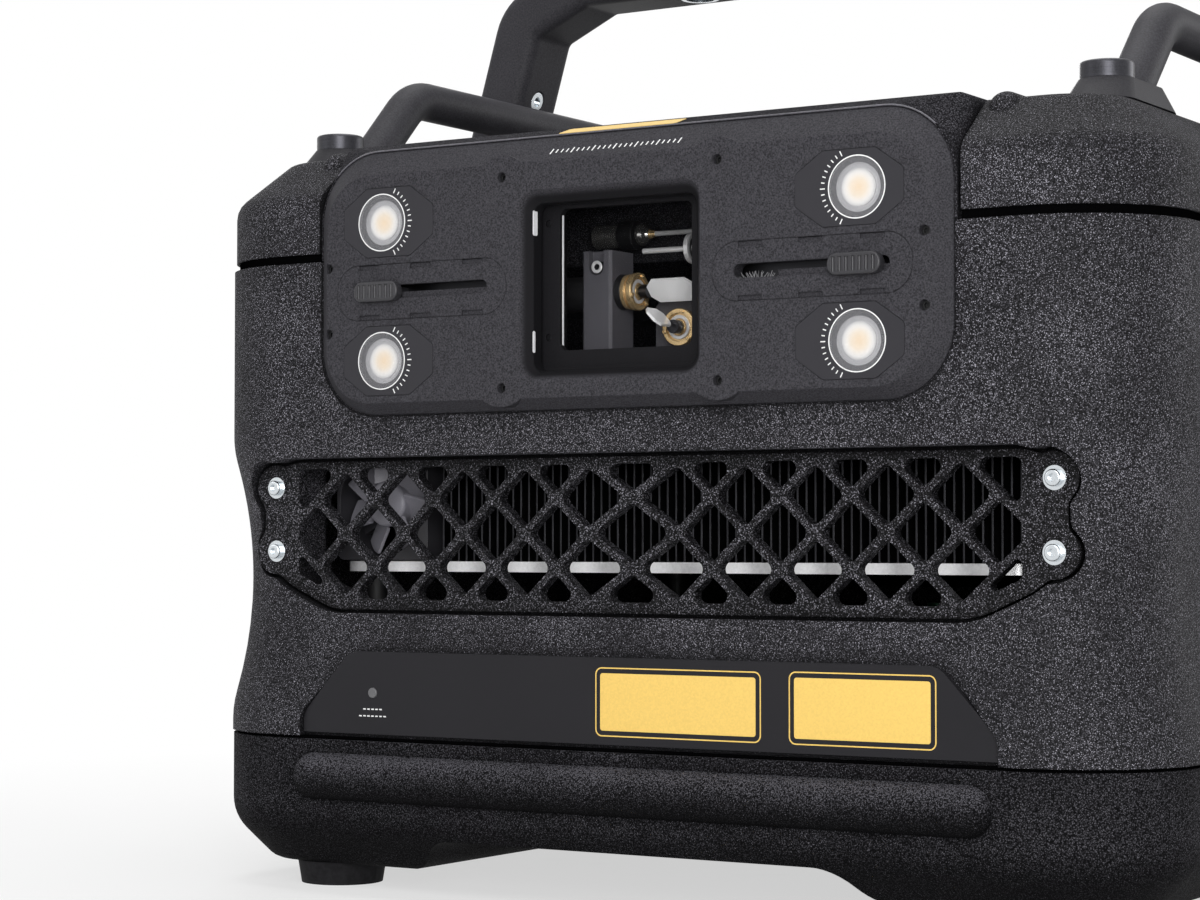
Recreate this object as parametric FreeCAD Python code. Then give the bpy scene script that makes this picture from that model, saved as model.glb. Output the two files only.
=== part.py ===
import FreeCAD, Part
import math
import os

V = FreeCAD.Vector
X_AXIS = V(1, 0, 0)
Y_AXIS = V(0, 1, 0)
Z_AXIS = V(0, 0, 1)
ORIGIN = V(0, 0, 0)

# Case: width along X, depth along Y, front at minus Y, floor at Z 0
body_width = 400.0
body_depth = 460.0
corner_radius = 45.0
wall = 3.0
flat_margin = 8.0

# Heights of the stacked shells
foot_height = 9.0
base_height = 49.5
base_seam = 1.2
housing_height = 182.0
lid_seam = 3.3
lid_side_height = 22.0
lid_bevel_height = 18.0
lid_bevel_inset = 22.0
lid_shoulder_round = 9.0
lid_edge_round = 6.0

# Base tray
base_proud = 0.4
base_bevel = 16.8
base_bevel_round = 18.0
base_edge_round = 8.0
ridge_margin = 54.0
ridge_height = 18.0
ridge_proud = 7.2
ridge_drop = 14.0
arch_margin = 124.0
arch_run = 28.0
arch_rise = 13.0
foot_radius = 17.5
foot_taper = 1.5
foot_inset_x = 50.0
foot_inset_y = 35.0
foot_screw_radius = 4.0
foot_screw_depth = 3.0
seal_inset = 1.2
seal_width = 1.4

# Housing waist, pulled in all round
housing_proud = 0.8
waist_depth = 7.8
waist_half_height = 56.0
waist_blend_radius = 40.0
waist_rise = 60.3

# Face plate, set over the front of the housing and the hood
plate_thickness = 7.2
plate_margin = 67.0
plate_drop = 59.7
plate_height = 100.0
plate_round = 26.0
plate_bevel_side = 7.0
plate_bevel_top = 9.5
plate_bevel_bottom = 4.2
plate_flat_round = 20.0
plate_fit = 0.6
tab_radius = 14.0
tab_lift = 3.0
ledge_inset = 14.0
ledge_step = 11.5
screw_hole_radius = 1.85
screw_hole_depth = 4.6
shank_radius = 1.2
shank_fit = 0.15
inner_screw_x = 45.5
inner_screw_low = 8.2
inner_screw_high = 85.6
side_screw_inset = 8.0
side_screw_low = 31.0
side_screw_high = 56.0

# Aperture in the face plate
aperture_half_width = 34.5
aperture_low = 14.0
aperture_high = 75.5
aperture_bevel = 4.0
aperture_bevel_top = 4.5
aperture_bevel_bottom = 3.0
aperture_bevel_depth = 5.0
aperture_round = 4.0
collar_wall = 2.0
collar_depth = 3.1

# Strobe lights
strobe_inset = 33.0
strobe_low = 20.1
strobe_high = 72.3
bezel_shift = 3.0
bezel_half_width = 20.6
bezel_half_height = 13.0
bezel_top_half = 10.0
bezel_side_half = 5.5
bezel_thickness = 1.5
lens_radius = 10.4
lens_thickness = 1.2
led_board_radius = 9.6
led_board_thickness = 1.6
led_dot_radius = 6.5
led_dot_height = 0.8
strobe_gap = 0.15

# Slider tracks, buttons and mask blades
track_outer_gap = 12.1
track_inner_gap = 9.0
track_half_height = 10.35
track_level = 46.0
track_thickness = 2.0
slot_fit = 0.4
slot_end_margin = 8.5
slot_half_height = 2.5
slot_lip_thickness = 0.8
slot_lip_lap = 0.3
slot_lip_drop = 0.1
slot_lip_open_end = 17.0
clip_length = 9.4
clip_depth = 1.8
button_length = 20.2
button_height = 7.6
button_depth = 3.6
button_round = 3.6
button_edge_round = 0.8
button_rim = 1.3
button_rib_count = 7
button_rib_depth = 0.7
button_end_gap = 1.9
blade_round = 2.0
bezel_round = 2.0
plate_screw_head = 2.4
mask_gap = 0.3
frame_round = 3.0
glass_round = 3.0
frame_screw_sunk = 0.2
stem_length = 10.0
stem_low = 0.3
blade_thickness = 1.0
blade_gap = 0.5
blade_inner_x = 41.0
blade_outer_x = 75.0
blade_low = 16.2
blade_high = 75.0
arm_half_height = 7.0
brush_height = 4.0
brush_depth = 1.6
brush_gap = 0.6

# Window frame and glass behind the mask blades
frame_gap = 0.7
frame_thickness = 3.0
frame_half_width = 80.0
frame_lip = 3.4
frame_opening_half_width = 28.0
frame_opening_low = 22.0
frame_opening_high = 74.0
frame_opening_round = 3.0
frame_screw_x = 33.0
frame_screw_margin = 5.0
frame_screw_radius = 1.1
frame_screw_head = 0.8
glass_margin = 7.0
glass_thickness = 3.0
glass_gap = 0.2

# Hood in the lid's front notch
hood_margin = 1.0
hood_length = 73.0
hood_groove = 1.2
hood_proud = 2.0
hood_front_drop = 4.5
hood_slope = 14.0
hood_rear_drop = 3.0
hood_corner_round = 6.0
hood_seat_gap = 0.3
hood_opening_half_width = 60.0
hood_opening_margin = 6.0
bead_radius = 6.5
bead_proud = 2.0
bead_inset = 7.2

# Optical bench
bench_gap = 1.0
bench_thickness = 8.0
bench_side_gap = 35.0
bench_length = 322.0
bench_wall_half_width = 75.0
bench_wall_thickness = 5.0
bench_wall_top = 86.0
post_radius = 7.0
post_inset = 7.0
post_front = 60.0
post_rear = 300.0

# Scanner
galvo_radius = 6.7
galvo_length = 34.0
galvo_fit = 0.05
galvo_depth = 37.8
output_level = 45.5
output_face_x = -13.4
input_level = 32.0
input_face_depth = 43.0
galvo_ring_length = 5.0
galvo_ring_radius = 7.1
galvo_shaft_radius = 1.5
galvo_shaft_length = 6.0
holder_radius = 2.6
holder_length = 3.0
output_mirror_length = 21.0
output_mirror_width = 10.6
output_mirror_corner = 3.4
input_mirror_length = 11.0
input_mirror_width = 9.0
input_mirror_offset = -4.5
mirror_thickness = 1.0
clamp_width = 13.0
clamp_half_depth = 8.4
clamp_top = 60.8
clamp_face_x = -21.0
notch_width = 6.4
notch_depth = 6.0
clamp_screw_radius = 2.4
block_half_width = 13.0
block_length = 24.0
block_top = 42.0
block_gap = 0.6
rim_radius = 7.0
rim_bore = 5.2
rim_depth = 5.0
rim_x = 14.0
rim_level = 62.0
adjuster_level = 70.0
adjuster_depth = 62.8
adjuster_x = -40.0
guide_x = -17.0
adjuster_radius = 4.6
adjuster_rod_radius = 0.8
steer_wall = 4.0

# Laser modules and combining filters on the bench
module_count = 3
module_pitch = 62.0
module_first = 110.0
module_width = 44.0
module_length = 84.0
module_height = 44.0
module_x = 62.0
module_nose_radius = 9.0
module_nose_length = 12.0
module_fin_count = 6
module_fin_depth = 3.0
filter_x = 26.0
filter_size = 16.0
filter_thickness = 2.0
filter_mount_width = 20.0

# Front and rear grilles
grille_recess = 3.4
grille_thickness = 5.0
grille_top = 165.0
grille_bottom = 108.0
grille_margin = 31.0
grille_top_slant = 11.0
grille_bottom_slant = 33.0
grille_shoulder = 9.0
grille_lower_shoulder = 15.0
grille_corner_round = 30.0
grille_screw_inset = 5.0
grille_screw_lower_inset = 5.2
grille_screw_upper = 155.2
grille_screw_lower = 130.4
grille_lobe = 9.0
grille_notch_round = 5.0
grille_fit = 1.3
mesh_margin = 16.5
mesh_top = 162.4
mesh_bottom = 112.0
mesh_bottom_slant = 22.0
mesh_bottom_rise = 9.6
lattice_pitch = 13.85
lattice_center_extra = 5.3
lattice_row = 13.0
lattice_level = 137.2
strut_width = 2.7
cell_round = 2.8
smallest_cell = 22.0
washer_radius = 4.2
washer_thickness = 0.8
washer_recess = 1.0
screw_head_radius = 2.9
screw_head_height = 2.2
socket_radius = 1.3
duct_wall = 4.0
duct_depth = 28.0

# Heatsink, duct plate and fans behind the grilles
heatsink_left_margin = 102.0
heatsink_right_margin = 52.0
heatsink_gap = 2.0
fan_gap = 0.3
heatsink_length = 120.0
heatsink_root = 4.0
fin_pitch = 3.6
fin_thickness = 0.7
duct_plate_margin = 53.0
duct_plate_thickness = 4.0
duct_plate_level = 122.5
fan_size = 44.0
fan_depth = 15.0
fan_bore = 20.6
fan_tip_gap = 0.8
fan_hub_radius = 9.0
fan_hub_length = 9.5
fan_hub_gap = 0.4
fan_backing = 3.0
fan_spokes = 3
fan_spoke_width = 4.0
fan_blades = 7
fan_blade_thickness = 1.2
fan_blade_pitch = 38.0
fan_shaft_radius = 1.5
fan_shaft_fit = 0.05
front_fan_inset = 74.0
rear_fan_inset = 138.0

# Indicator panel
panel_recess = 1.2
panel_thickness = 2.0
panel_margin = 46.6
panel_slant = 30.2
panel_height = 32.7
panel_round = 9.0
panel_side_cut = 8.0
panel_shift = 2.4
panel_lift = 1.4
panel_fit = 0.4
panel_back = 3.0
emission_inset = 10.8
emission_level = 17.1
emission_radius = 2.0
emission_proud = 0.4
emission_length = 4.0
emission_fit = 0.1

# Handles
handle_inset = 34.0
handle_tube_radius = 8.0
handle_rise = 36.3
handle_bend = 22.0
handle_half_length = 127.2
handle_plinth_length = 61.2
handle_plinth_width = 25.0
handle_plinth_height = 8.2
handle_plinth_side_taper = 2.7
handle_plinth_end_taper = 8.2
handle_tube_from_end = 21.7
handle_socket_depth = 4.2
handle_socket_fit = 0.15
cap_radius = 9.5
cap_height = 6.2
cap_from_end = 18.0
cap_round = 1.2
cap_socket_radius = 4.0
cap_socket_depth = 3.0

# Yoke
yoke_width = 34.0
yoke_thickness = 24.0
yoke_gap = 4.0
yoke_shoulder = 275.5
yoke_lean = 26.8
yoke_bend_low = 366.3
yoke_bend_in = 52.9
yoke_underside = 378.3
yoke_bend_round = 4.0
yoke_edge_round = 6.0
pivot_level = 150.0
boss_radius = 23.0
boss_gap = 0.3
boss_depth = 18.0
bush_radius = 9.0
bush_fit = 0.05
stud_radius = 6.0
stud_fit = 0.05
stud_reach = 19.7
knob_radius = 25.0
knob_lobes = 6
knob_lobe_radius = 5.5
knob_thickness = 15.0
knob_neck_radius = 15.0
knob_neck = 8.0
knob_gap = 0.3
clamp_hole_inset = 101.0
clamp_hole_radius = 6.5
clamp_bush_radius = 8.5
clamp_bush_fit = 0.1
clamp_bush_proud = 0.4
yoke_screw_level = 338.5
yoke_screw_y = -2.0
yoke_screw_radius = 4.5
yoke_screw_head = 3.0
yoke_screw_shank = 2.5
yoke_screw_length = 16.0
yoke_screw_sunk = 0.3
yoke_screw_room = 0.6

# Rear connector panel
rear_panel_margin = 50.0
rear_panel_round = 3.0
rear_panel_thickness = 2.5
rear_panel_low = 184.0
rear_panel_high = 238.0
rear_opening_margin = 8.0
rear_opening_round = 8.0
rear_row = 211.0
socket_flange_width = 26.0
socket_flange_height = 31.0
socket_flange_thickness = 2.0
socket_flange_round = 3.0
socket_body_radius = 11.8
socket_body_length = 20.0
socket_hole_fit = 0.2
socket_bore_radius = 9.8
power_core_radius = 6.6
power_bore_depth = 12.0
power_key_width = 3.0
dmx_dish_depth = 1.0
dmx_pin_radius = 1.3
dmx_pin_circle = 5.0
dmx_pin_depth = 10.0
network_port_width = 12.0
network_port_height = 9.0
network_port_depth = 14.0
network_port_drop = 0.5
network_latch_width = 5.0
network_latch_height = 2.5
ilda_row_rise = 12.0
ilda_flange_round = 2.0
ilda_shell_round = 2.4
ilda_width = 53.0
ilda_height = 12.5
ilda_flange = 1.0
ilda_shell_half = 19.5
ilda_shell_half_height = 4.2
ilda_shell_slant = 1.6
ilda_shell_length = 5.5
ilda_body_half = 24.0
ilda_body_half_height = 5.0
ilda_body_length = 10.0
key_bezel_radius = 11.0
key_bezel_height = 3.0
key_barrel_radius = 9.0
key_plug_radius = 6.0
key_plug_fit = 0.05
key_length = 24.0
key_slot_length = 7.0
key_slot_width = 2.2
key_slot_depth = 4.0

# Electronics
supply_half_width = 68.0
supply_front = 170.0
supply_rear_gap = 90.0
supply_height = 62.0
supply_vent_count = 9
supply_vent_width = 3.0
board_thickness = 1.6
board_standoff = 5.0
board_standoff_radius = 3.0
board_margin = 8.0
floor_gap = 0.3

# Levels and planes worked out from the sizes above
half_width = body_width / 2
half_depth = body_depth / 2
plate_half_width = half_width - plate_margin
ledge_half_opening = plate_half_width - ledge_inset
side_screw_x = plate_half_width - side_screw_inset
strobe_x = plate_half_width - strobe_inset
track_outer_x = plate_half_width - track_outer_gap
track_inner_x = aperture_half_width + track_inner_gap
track_center_x = (track_outer_x + track_inner_x) / 2
track_half_length = (track_outer_x - track_inner_x) / 2
slot_half_length = track_half_length - slot_end_margin
hood_half_width = plate_half_width + hood_margin
supply_length = body_depth - supply_front - supply_rear_gap
ridge_half_length = half_width - ridge_margin
arch_half_flat = half_width - arch_margin
bench_half_width = half_width - bench_side_gap
post_x = bench_half_width - post_inset
grille_half_width = half_width - grille_margin
grille_top_half = grille_half_width - grille_top_slant
grille_bottom_half = grille_half_width - grille_bottom_slant
grille_screw_x = grille_half_width - grille_screw_inset
grille_screw_lower_x = grille_half_width - grille_screw_lower_inset
mesh_half_width = grille_half_width - mesh_margin
mesh_bottom_half = mesh_half_width - mesh_bottom_slant
heatsink_left = heatsink_left_margin - half_width
heatsink_right = half_width - heatsink_right_margin
duct_plate_half_width = half_width - duct_plate_margin
front_fan_x = front_fan_inset - half_width
rear_fan_x = half_width - rear_fan_inset
panel_bottom_half = half_width - panel_margin
panel_top_half = panel_bottom_half - panel_slant
emission_x = panel_shift + emission_inset - panel_top_half
handle_x = half_width - handle_inset
clamp_hole_x = half_width - clamp_hole_inset
rear_panel_half_width = half_width - rear_panel_margin
rear_opening_half_width = rear_panel_half_width - rear_opening_margin
front = -half_depth
base_top = foot_height + base_height
housing_bottom = base_top + base_seam
housing_top = housing_bottom + housing_height
waist_level = housing_bottom + waist_rise
lid_bottom = housing_top + lid_seam
lid_shoulder = lid_bottom + lid_side_height
lid_top = lid_shoulder + lid_bevel_height
plate_bottom = housing_top - plate_drop
plate_front = front - plate_thickness
blade_front = front + collar_depth + blade_gap
frame_front = blade_front + blade_thickness + frame_gap
bench_front = frame_front + frame_thickness
bench_bottom = grille_top + duct_wall + bench_gap + grille_fit
bench_top = bench_bottom + bench_thickness
grille_front = front - housing_proud + waist_depth + grille_recess - 0.6
grille_back = grille_front + grille_thickness
side_face = half_width + yoke_gap
arch_top = foot_height + arch_rise
handle_level = lid_top + handle_rise
tray_floor = arch_top + wall + floor_gap
center_shift = (mask_gap + button_depth) / 2


def block(x0, x1, y0, y1, z0, z1):
    return Part.makeBox(x1 - x0, y1 - y0, z1 - z0, V(x0, y0, z0))


def rod(radius, start, axis, length):
    return Part.makeCylinder(radius, length, start, axis)


def tube(outer, inner, start, axis, length):
    return rod(outer, start, axis, length).cut(rod(inner, start, axis, length))


def joined(shapes):
    return shapes[0].fuse(shapes[1:]).removeSplitter()


def group(shapes):
    return Part.makeCompound(shapes)


def mirrored_x(shape):
    return shape.mirror(ORIGIN, X_AXIS)


def mirrored_y(shape):
    return shape.mirror(ORIGIN, Y_AXIS)


def turned(shape, angle, axis=Z_AXIS, center=ORIGIN):
    copy = shape.copy()
    copy.rotate(center, axis, angle)
    return copy


def moved(shape, x, y, z):
    copy = shape.copy()
    copy.translate(V(x, y, z))
    return copy


def corner_arc(before, here, after, radius):
    """Points where a round of the given radius leaves, tops and rejoins a corner."""
    back = (before - here)
    ahead = (after - here)
    half = back.getAngle(ahead) / 2
    reach = min(radius / math.tan(half), 0.48 * back.Length, 0.48 * ahead.Length)
    back.normalize()
    ahead.normalize()
    middle = back + ahead
    middle.normalize()
    fitted = reach * math.tan(half)
    top = here + middle * (fitted / math.sin(half) - fitted)
    return here + back * reach, top, here + ahead * reach


def rounded_wire(points, radius, y):
    """Closed outline of (x, z) points at depth y, with every corner rounded."""
    corners = [V(x, y, z) for x, z in points]
    edges = []
    last = None
    first = None
    for index, here in enumerate(corners):
        after = corners[(index + 1) % len(corners)]
        start, top, end = corner_arc(corners[index - 1], here, after, radius)
        if last is None:
            first = start
        else:
            edges.append(Part.makeLine(last, start))
        edges.append(Part.Arc(start, top, end).toShape())
        last = end
    edges.append(Part.makeLine(last, first))
    return Part.Wire(edges)


def rectangle(x0, x1, z0, z1):
    return [(x0, z0), (x1, z0), (x1, z1), (x0, z1)]


def rounded_prism(points, radius, y0, y1):
    """Rounded outline of (x, z) points carried from depth y0 to depth y1."""
    return Part.Face(rounded_wire(points, radius, y0)).extrude(V(0, y1 - y0, 0))


def straight_prism(points, y0, y1):
    corners = [V(x, y0, z) for x, z in points]
    return Part.Face(Part.makePolygon(corners + corners[:1])).extrude(V(0, y1 - y0, 0))


def offset_line(points, distance):
    """Wall line of (outward, height) points moved inward by a wall's thickness."""
    moved_points = []
    shifts = []
    for here, after in zip(points, points[1:]):
        run = V(after[0] - here[0], 0, after[1] - here[1])
        run.normalize()
        shifts.append(V(-run.z, 0, run.x) * distance)
    for index, point in enumerate(points):
        before = shifts[max(index - 1, 0)]
        after = shifts[min(index, len(shifts) - 1)]
        shift = (before + after) * (distance ** 2 / (distance ** 2 + before.dot(after)))
        moved_points.append((point[0] + shift.x, point[1] + shift.z))
    return moved_points


def softened(points, radii):
    """Wall stops with rounds at the inner points; a four-number stop is reached by an arc."""
    stops = [points[0]]
    for index, radius in enumerate(radii, 1):
        before, here, after = (V(p[0], 0, p[1]) for p in points[index - 1:index + 2])
        start, top, end = corner_arc(before, here, after, radius)
        stops.append((start.x, start.z))
        stops.append((end.x, end.z, top.x, top.z))
    stops.append(points[-1])
    return stops


def wall_section(stops):
    """Face from the corner's axis out to a wall line, standing in the XZ plane."""
    here = V(corner_radius + stops[0][0], 0, stops[0][1])
    edges = [Part.makeLine(V(0, 0, stops[0][1]), here)]
    for stop in stops[1:]:
        there = V(corner_radius + stop[0], 0, stop[1])
        if len(stop) == 4:
            through = V(corner_radius + stop[2], 0, stop[3])
            edges.append(Part.Arc(here, through, there).toShape())
        else:
            edges.append(Part.makeLine(here, there))
        here = there
    top = V(0, 0, stops[-1][1])
    edges.append(Part.makeLine(here, top))
    edges.append(Part.makeLine(top, V(0, 0, stops[0][1])))
    return Part.Face(Part.Wire(edges))


def case_solid(stops):
    """Rounded-rectangle solid whose four sides and corners follow one wall line."""
    core_x = half_width - corner_radius
    core_y = half_depth - corner_radius
    section = wall_section(stops)
    pieces = [block(-core_x, core_x, -core_y, core_y, stops[0][1], stops[-1][1])]
    corners = [(core_x, -core_y), (core_x, core_y), (-core_x, core_y), (-core_x, -core_y)]
    for quarter in range(4):
        length = 2 * (core_x if quarter % 2 else core_y)
        start = corners[quarter]
        end = corners[(quarter + 1) % 4]
        side = section.extrude(V(0, length, 0))
        bend = section.revolve(ORIGIN, Z_AXIS, 90)
        pieces.append(moved(turned(side, 90 * quarter), start[0], start[1], 0))
        pieces.append(moved(turned(bend, 90 * quarter), end[0], end[1], 0))
    return joined(pieces)


def case_ring(outer, inner, z0, z1):
    """Upright band between two insets of the case outline."""
    return case_solid([(-outer, z0), (-outer, z1)]).cut(case_solid([(-inner, z0), (-inner, z1)]))


def arch_prism(grow):
    """Channel under the base from front to back, with S-shaped flanks, grown by a wall."""
    radius = (arch_run ** 2 + arch_rise ** 2) / (4 * arch_rise)
    sweep = 2 * math.atan2(arch_rise, arch_run)
    y = -half_depth - ridge_proud - wall
    upper = radius + grow
    lower = radius - grow
    crown = V(arch_half_flat, y, arch_top - radius)
    toe = V(arch_half_flat + arch_run, y, foot_height + radius)

    def on_crown(angle):
        return crown + V(math.sin(angle), 0, math.cos(angle)) * upper

    def on_toe(angle):
        return toe - V(math.sin(angle), 0, math.cos(angle)) * lower

    flank = [
        Part.Arc(on_crown(0), on_crown(sweep / 2), on_crown(sweep)).toShape(),
        Part.Arc(on_toe(sweep), on_toe(sweep / 2), on_toe(0)).toShape(),
    ]
    foot = V(toe.x, y, 0)
    mirrored = [mirrored_x(edge) for edge in flank]
    closing = [
        Part.makeLine(on_toe(0), foot),
        Part.makeLine(foot, V(-foot.x, y, 0)),
        Part.makeLine(V(-foot.x, y, 0), V(-foot.x, y, on_toe(0).z)),
        Part.makeLine(V(-arch_half_flat, y, on_crown(0).z), on_crown(0)),
    ]
    outline = Part.Wire(Part.__sortEdges__(flank + mirrored + closing))
    return Part.Face(outline).extrude(V(0, -2 * y, 0))


def base_line(inset):
    bottom = foot_height
    points = [
        (base_proud - base_bevel - flat_margin, bottom),
        (base_proud - base_bevel, bottom),
        (base_proud, bottom + base_bevel),
        (base_proud, base_top),
    ]
    if inset:
        points = offset_line(points, inset)
    return softened(points, [base_edge_round, base_bevel_round])


def ridge():
    """Half-round bumper bar along the front of the base, with ball ends."""
    half = ridge_height / 2
    radius = (half ** 2 + ridge_proud ** 2) / (2 * ridge_proud)
    level = base_top - ridge_drop
    y = front - ridge_proud + radius
    end = ridge_half_length - half
    bar = rod(radius, V(-end, y, level), X_AXIS, 2 * end)
    balls = [Part.makeSphere(radius, V(x, y, level)) for x in (-end, end)]
    return joined([bar] + balls)


def base_tray():
    bar = ridge()
    shell = joined([case_solid(base_line(0)), bar, mirrored_y(bar)])
    hollow = case_solid(base_line(wall)).cut(arch_prism(wall))
    tray = shell.cut([hollow, arch_prism(0)])
    for x, y in foot_places():
        tray = tray.cut(rod(foot_screw_radius / 2, V(x, y, 0), Z_AXIS, foot_height + 2 * wall))
    return tray


def foot_places():
    x = half_width - foot_inset_x
    y = half_depth - foot_inset_y
    return [(x, -y), (x, y), (-x, y), (-x, -y)]


def rubber_feet():
    feet = []
    for x, y in foot_places():
        foot = Part.makeCone(foot_radius - foot_taper, foot_radius, foot_height, V(x, y, 0), Z_AXIS)
        well = rod(foot_screw_radius + shank_fit, V(x, y, 0), Z_AXIS, foot_screw_depth + 2)
        hole = rod(foot_screw_radius / 2 + shank_fit, V(x, y, 0), Z_AXIS, foot_height)
        feet.append(foot.cut([well, hole]))
    return group(feet)


def foot_screws():
    screws = []
    for x, y in foot_places():
        seat = foot_screw_depth + 2
        head = rod(foot_screw_radius, V(x, y, seat - foot_screw_depth), Z_AXIS, foot_screw_depth)
        shank = rod(foot_screw_radius / 2 - shank_fit, V(x, y, seat), Z_AXIS, foot_height + wall - seat)
        screws.append(joined([head, shank]))
    return group(screws)


def housing_line(inset):
    """Wall line of the housing with its waist: a hollow arc blended into upright bands."""
    face = housing_proud - inset
    blend = waist_blend_radius - inset
    reach = (waist_half_height ** 2 + waist_depth ** 2) / (2 * waist_depth)
    tilt = math.atan2(waist_half_height, reach - waist_depth)

    def on_blend(angle, side):
        rise = waist_half_height - blend * math.sin(angle)
        return face - blend * (1 - math.cos(angle)), waist_level + side * rise

    low = waist_level - waist_half_height
    high = waist_level + waist_half_height
    return [
        (face, housing_bottom),
        (face, low),
        on_blend(tilt, -1) + on_blend(tilt / 2, -1),
        on_blend(tilt, 1) + (face - waist_depth, waist_level),
        (face, high) + on_blend(tilt / 2, 1),
        (face, housing_top),
    ]


def panel_points(grow):
    """Corner points of the indicator panel: upright ends that lean in to its top edge."""
    low = housing_bottom - panel_height
    high = housing_bottom + panel_height + grow
    slant = (panel_bottom_half - panel_top_half) / panel_height
    reach = panel_bottom_half + grow * math.hypot(1, slant)
    wide = panel_bottom_half - panel_side_cut + grow
    knee = housing_bottom + (reach - wide) / slant
    narrow = reach - slant * (panel_height + grow)
    corners = [(-wide, low), (wide, low), (wide, knee), (narrow, high), (-narrow, high), (-wide, knee)]
    return [(x + panel_shift, z) for x, z in corners]


def panel_prism(grow, y0, y1):
    prism = rounded_prism(panel_points(grow), panel_round + grow, y0, y1)
    return prism.common(block(-half_width, half_width, y0, y1, housing_bottom, housing_top))


def grille_prism(grow, y0, y1):
    """Outline of the air grille with a lobe round each screw, grown by a clearance."""
    points = [
        (grille_top_half, grille_top),
        (grille_half_width, grille_top - grille_shoulder),
        (grille_half_width, grille_bottom + grille_lower_shoulder),
        (grille_bottom_half, grille_bottom),
    ]
    corners = points + [(-x, z) for x, z in reversed(points)]
    plate = rounded_prism(corners, grille_corner_round, y0, y1)
    lobes = []
    for x, z in grille_screw_places():
        lobes.append(rod(grille_lobe, V(x, y0, z), Y_AXIS, y1 - y0))
    plate = joined([plate] + lobes)
    top = [face for face in plate.Faces if abs(face.CenterOfMass.y - y0) < 1e-6][0]
    outline = Part.Face(top.OuterWire)
    outline = outline.makeOffset2D(grille_notch_round + grow)
    outline = outline.makeOffset2D(-grille_notch_round)
    return outline.extrude(V(0, y1 - y0, 0))


def grille_screw_places():
    places = [(grille_screw_x, grille_screw_upper), (grille_screw_lower_x, grille_screw_lower)]
    return [(side * x, level) for side in (-1, 1) for x, level in places]


def mesh_points(inset=0.0):
    """Corner points of the grille's open field, with cut lower corners."""
    wide = mesh_half_width - inset
    points = [
        (wide, mesh_top - inset),
        (wide, mesh_bottom + mesh_bottom_rise),
        (mesh_bottom_half, mesh_bottom + inset),
    ]
    return points + [(-x, z) for x, z in reversed(points)]


def clipped(points, border):
    """Part of a convex outline that lies inside a convex border, both clockwise."""
    kept = points
    for start, end in zip(border, border[1:] + border[:1]):
        source = kept
        kept = []
        for index, here in enumerate(source):
            before = source[index - 1]
            side_here = cross(start, end, here)
            side_before = cross(start, end, before)
            if side_here * side_before < 0:
                share = side_before / (side_before - side_here)
                x = before[0] + share * (here[0] - before[0])
                z = before[1] + share * (here[1] - before[1])
                kept.append((x, z))
            if side_here <= 0:
                kept.append(here)
        if not kept:
            return kept
    return kept


def spaced(points):
    """Outline points without those that nearly coincide with the one before."""
    kept = []
    for index, here in enumerate(points):
        before = points[index - 1]
        if math.hypot(here[0] - before[0], here[1] - before[1]) > cell_round / 2:
            kept.append(here)
    return kept


def cross(start, end, point):
    run = (end[0] - start[0], end[1] - start[1])
    return run[0] * (point[1] - start[1]) - run[1] * (point[0] - start[0])


def area(points):
    pairs = zip(points, points[1:] + points[:1])
    return abs(sum(a[0] * b[1] - b[0] * a[1] for a, b in pairs)) / 2


def lattice_x(column):
    if column == 0:
        return 0.0
    return math.copysign(abs(column) * lattice_pitch + lattice_center_extra, column)


def diamond(row, column, size):
    """Opening between the struts round one lattice place, or round several if the size is more than 1."""
    x = lattice_x(column)
    z = lattice_level + row * lattice_row
    trim = strut_width / 2 * math.hypot(lattice_pitch, lattice_row) / lattice_pitch
    share = 1 - trim / (lattice_row * size)
    tall = size * lattice_row * share
    left = (x - lattice_x(column - size)) * share
    right = (lattice_x(column + size) - x) * share
    return [(x, z + tall), (x + right, z), (x, z - tall), (x - left, z)]


def lattice_cells():
    """Diamond openings clipped to the grille's open field, with one large opening in each corner."""
    columns = int(mesh_half_width / lattice_pitch) + 2
    rows = int((mesh_top - mesh_bottom) / (2 * lattice_row)) + 1
    outer = min(c for c in range(1, 2 * columns, 2) if lattice_x(c) > mesh_half_width)
    places = [(row, column, 2) for row in (-2, 2) for column in (-outer, outer)]
    for row in range(-rows, rows + 1):
        for column in range(-columns, columns + 1):
            corner = abs(row) == 2 and abs(column) == outer - 1
            corner = corner or abs(row) == 1 and abs(column) == outer
            if (row + column) % 2 == 0 and not corner:
                places.append((row, column, 1))
    cells = []
    for place in places:
        cell = spaced(clipped(diamond(*place), mesh_points()))
        if len(cell) > 2 and area(cell) > smallest_cell:
            cells.append(cell)
    return cells


def grille_at(y):
    """Lattice grille with its front at depth y, counterbored for four washers."""
    plate = grille_prism(0, y, y + grille_thickness)
    cuts = []
    for cell in lattice_cells():
        cuts.append(rounded_prism(cell, cell_round, y - 1, y + grille_thickness + 1))
    for x, z in grille_screw_places():
        recess = washer_radius + shank_fit
        cuts.append(rod(recess, V(x, y, z), Y_AXIS, washer_recess))
        cuts.append(rod(shank_radius + shank_fit, V(x, y, z), Y_AXIS, grille_thickness))
    return plate.cut(cuts)


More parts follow.
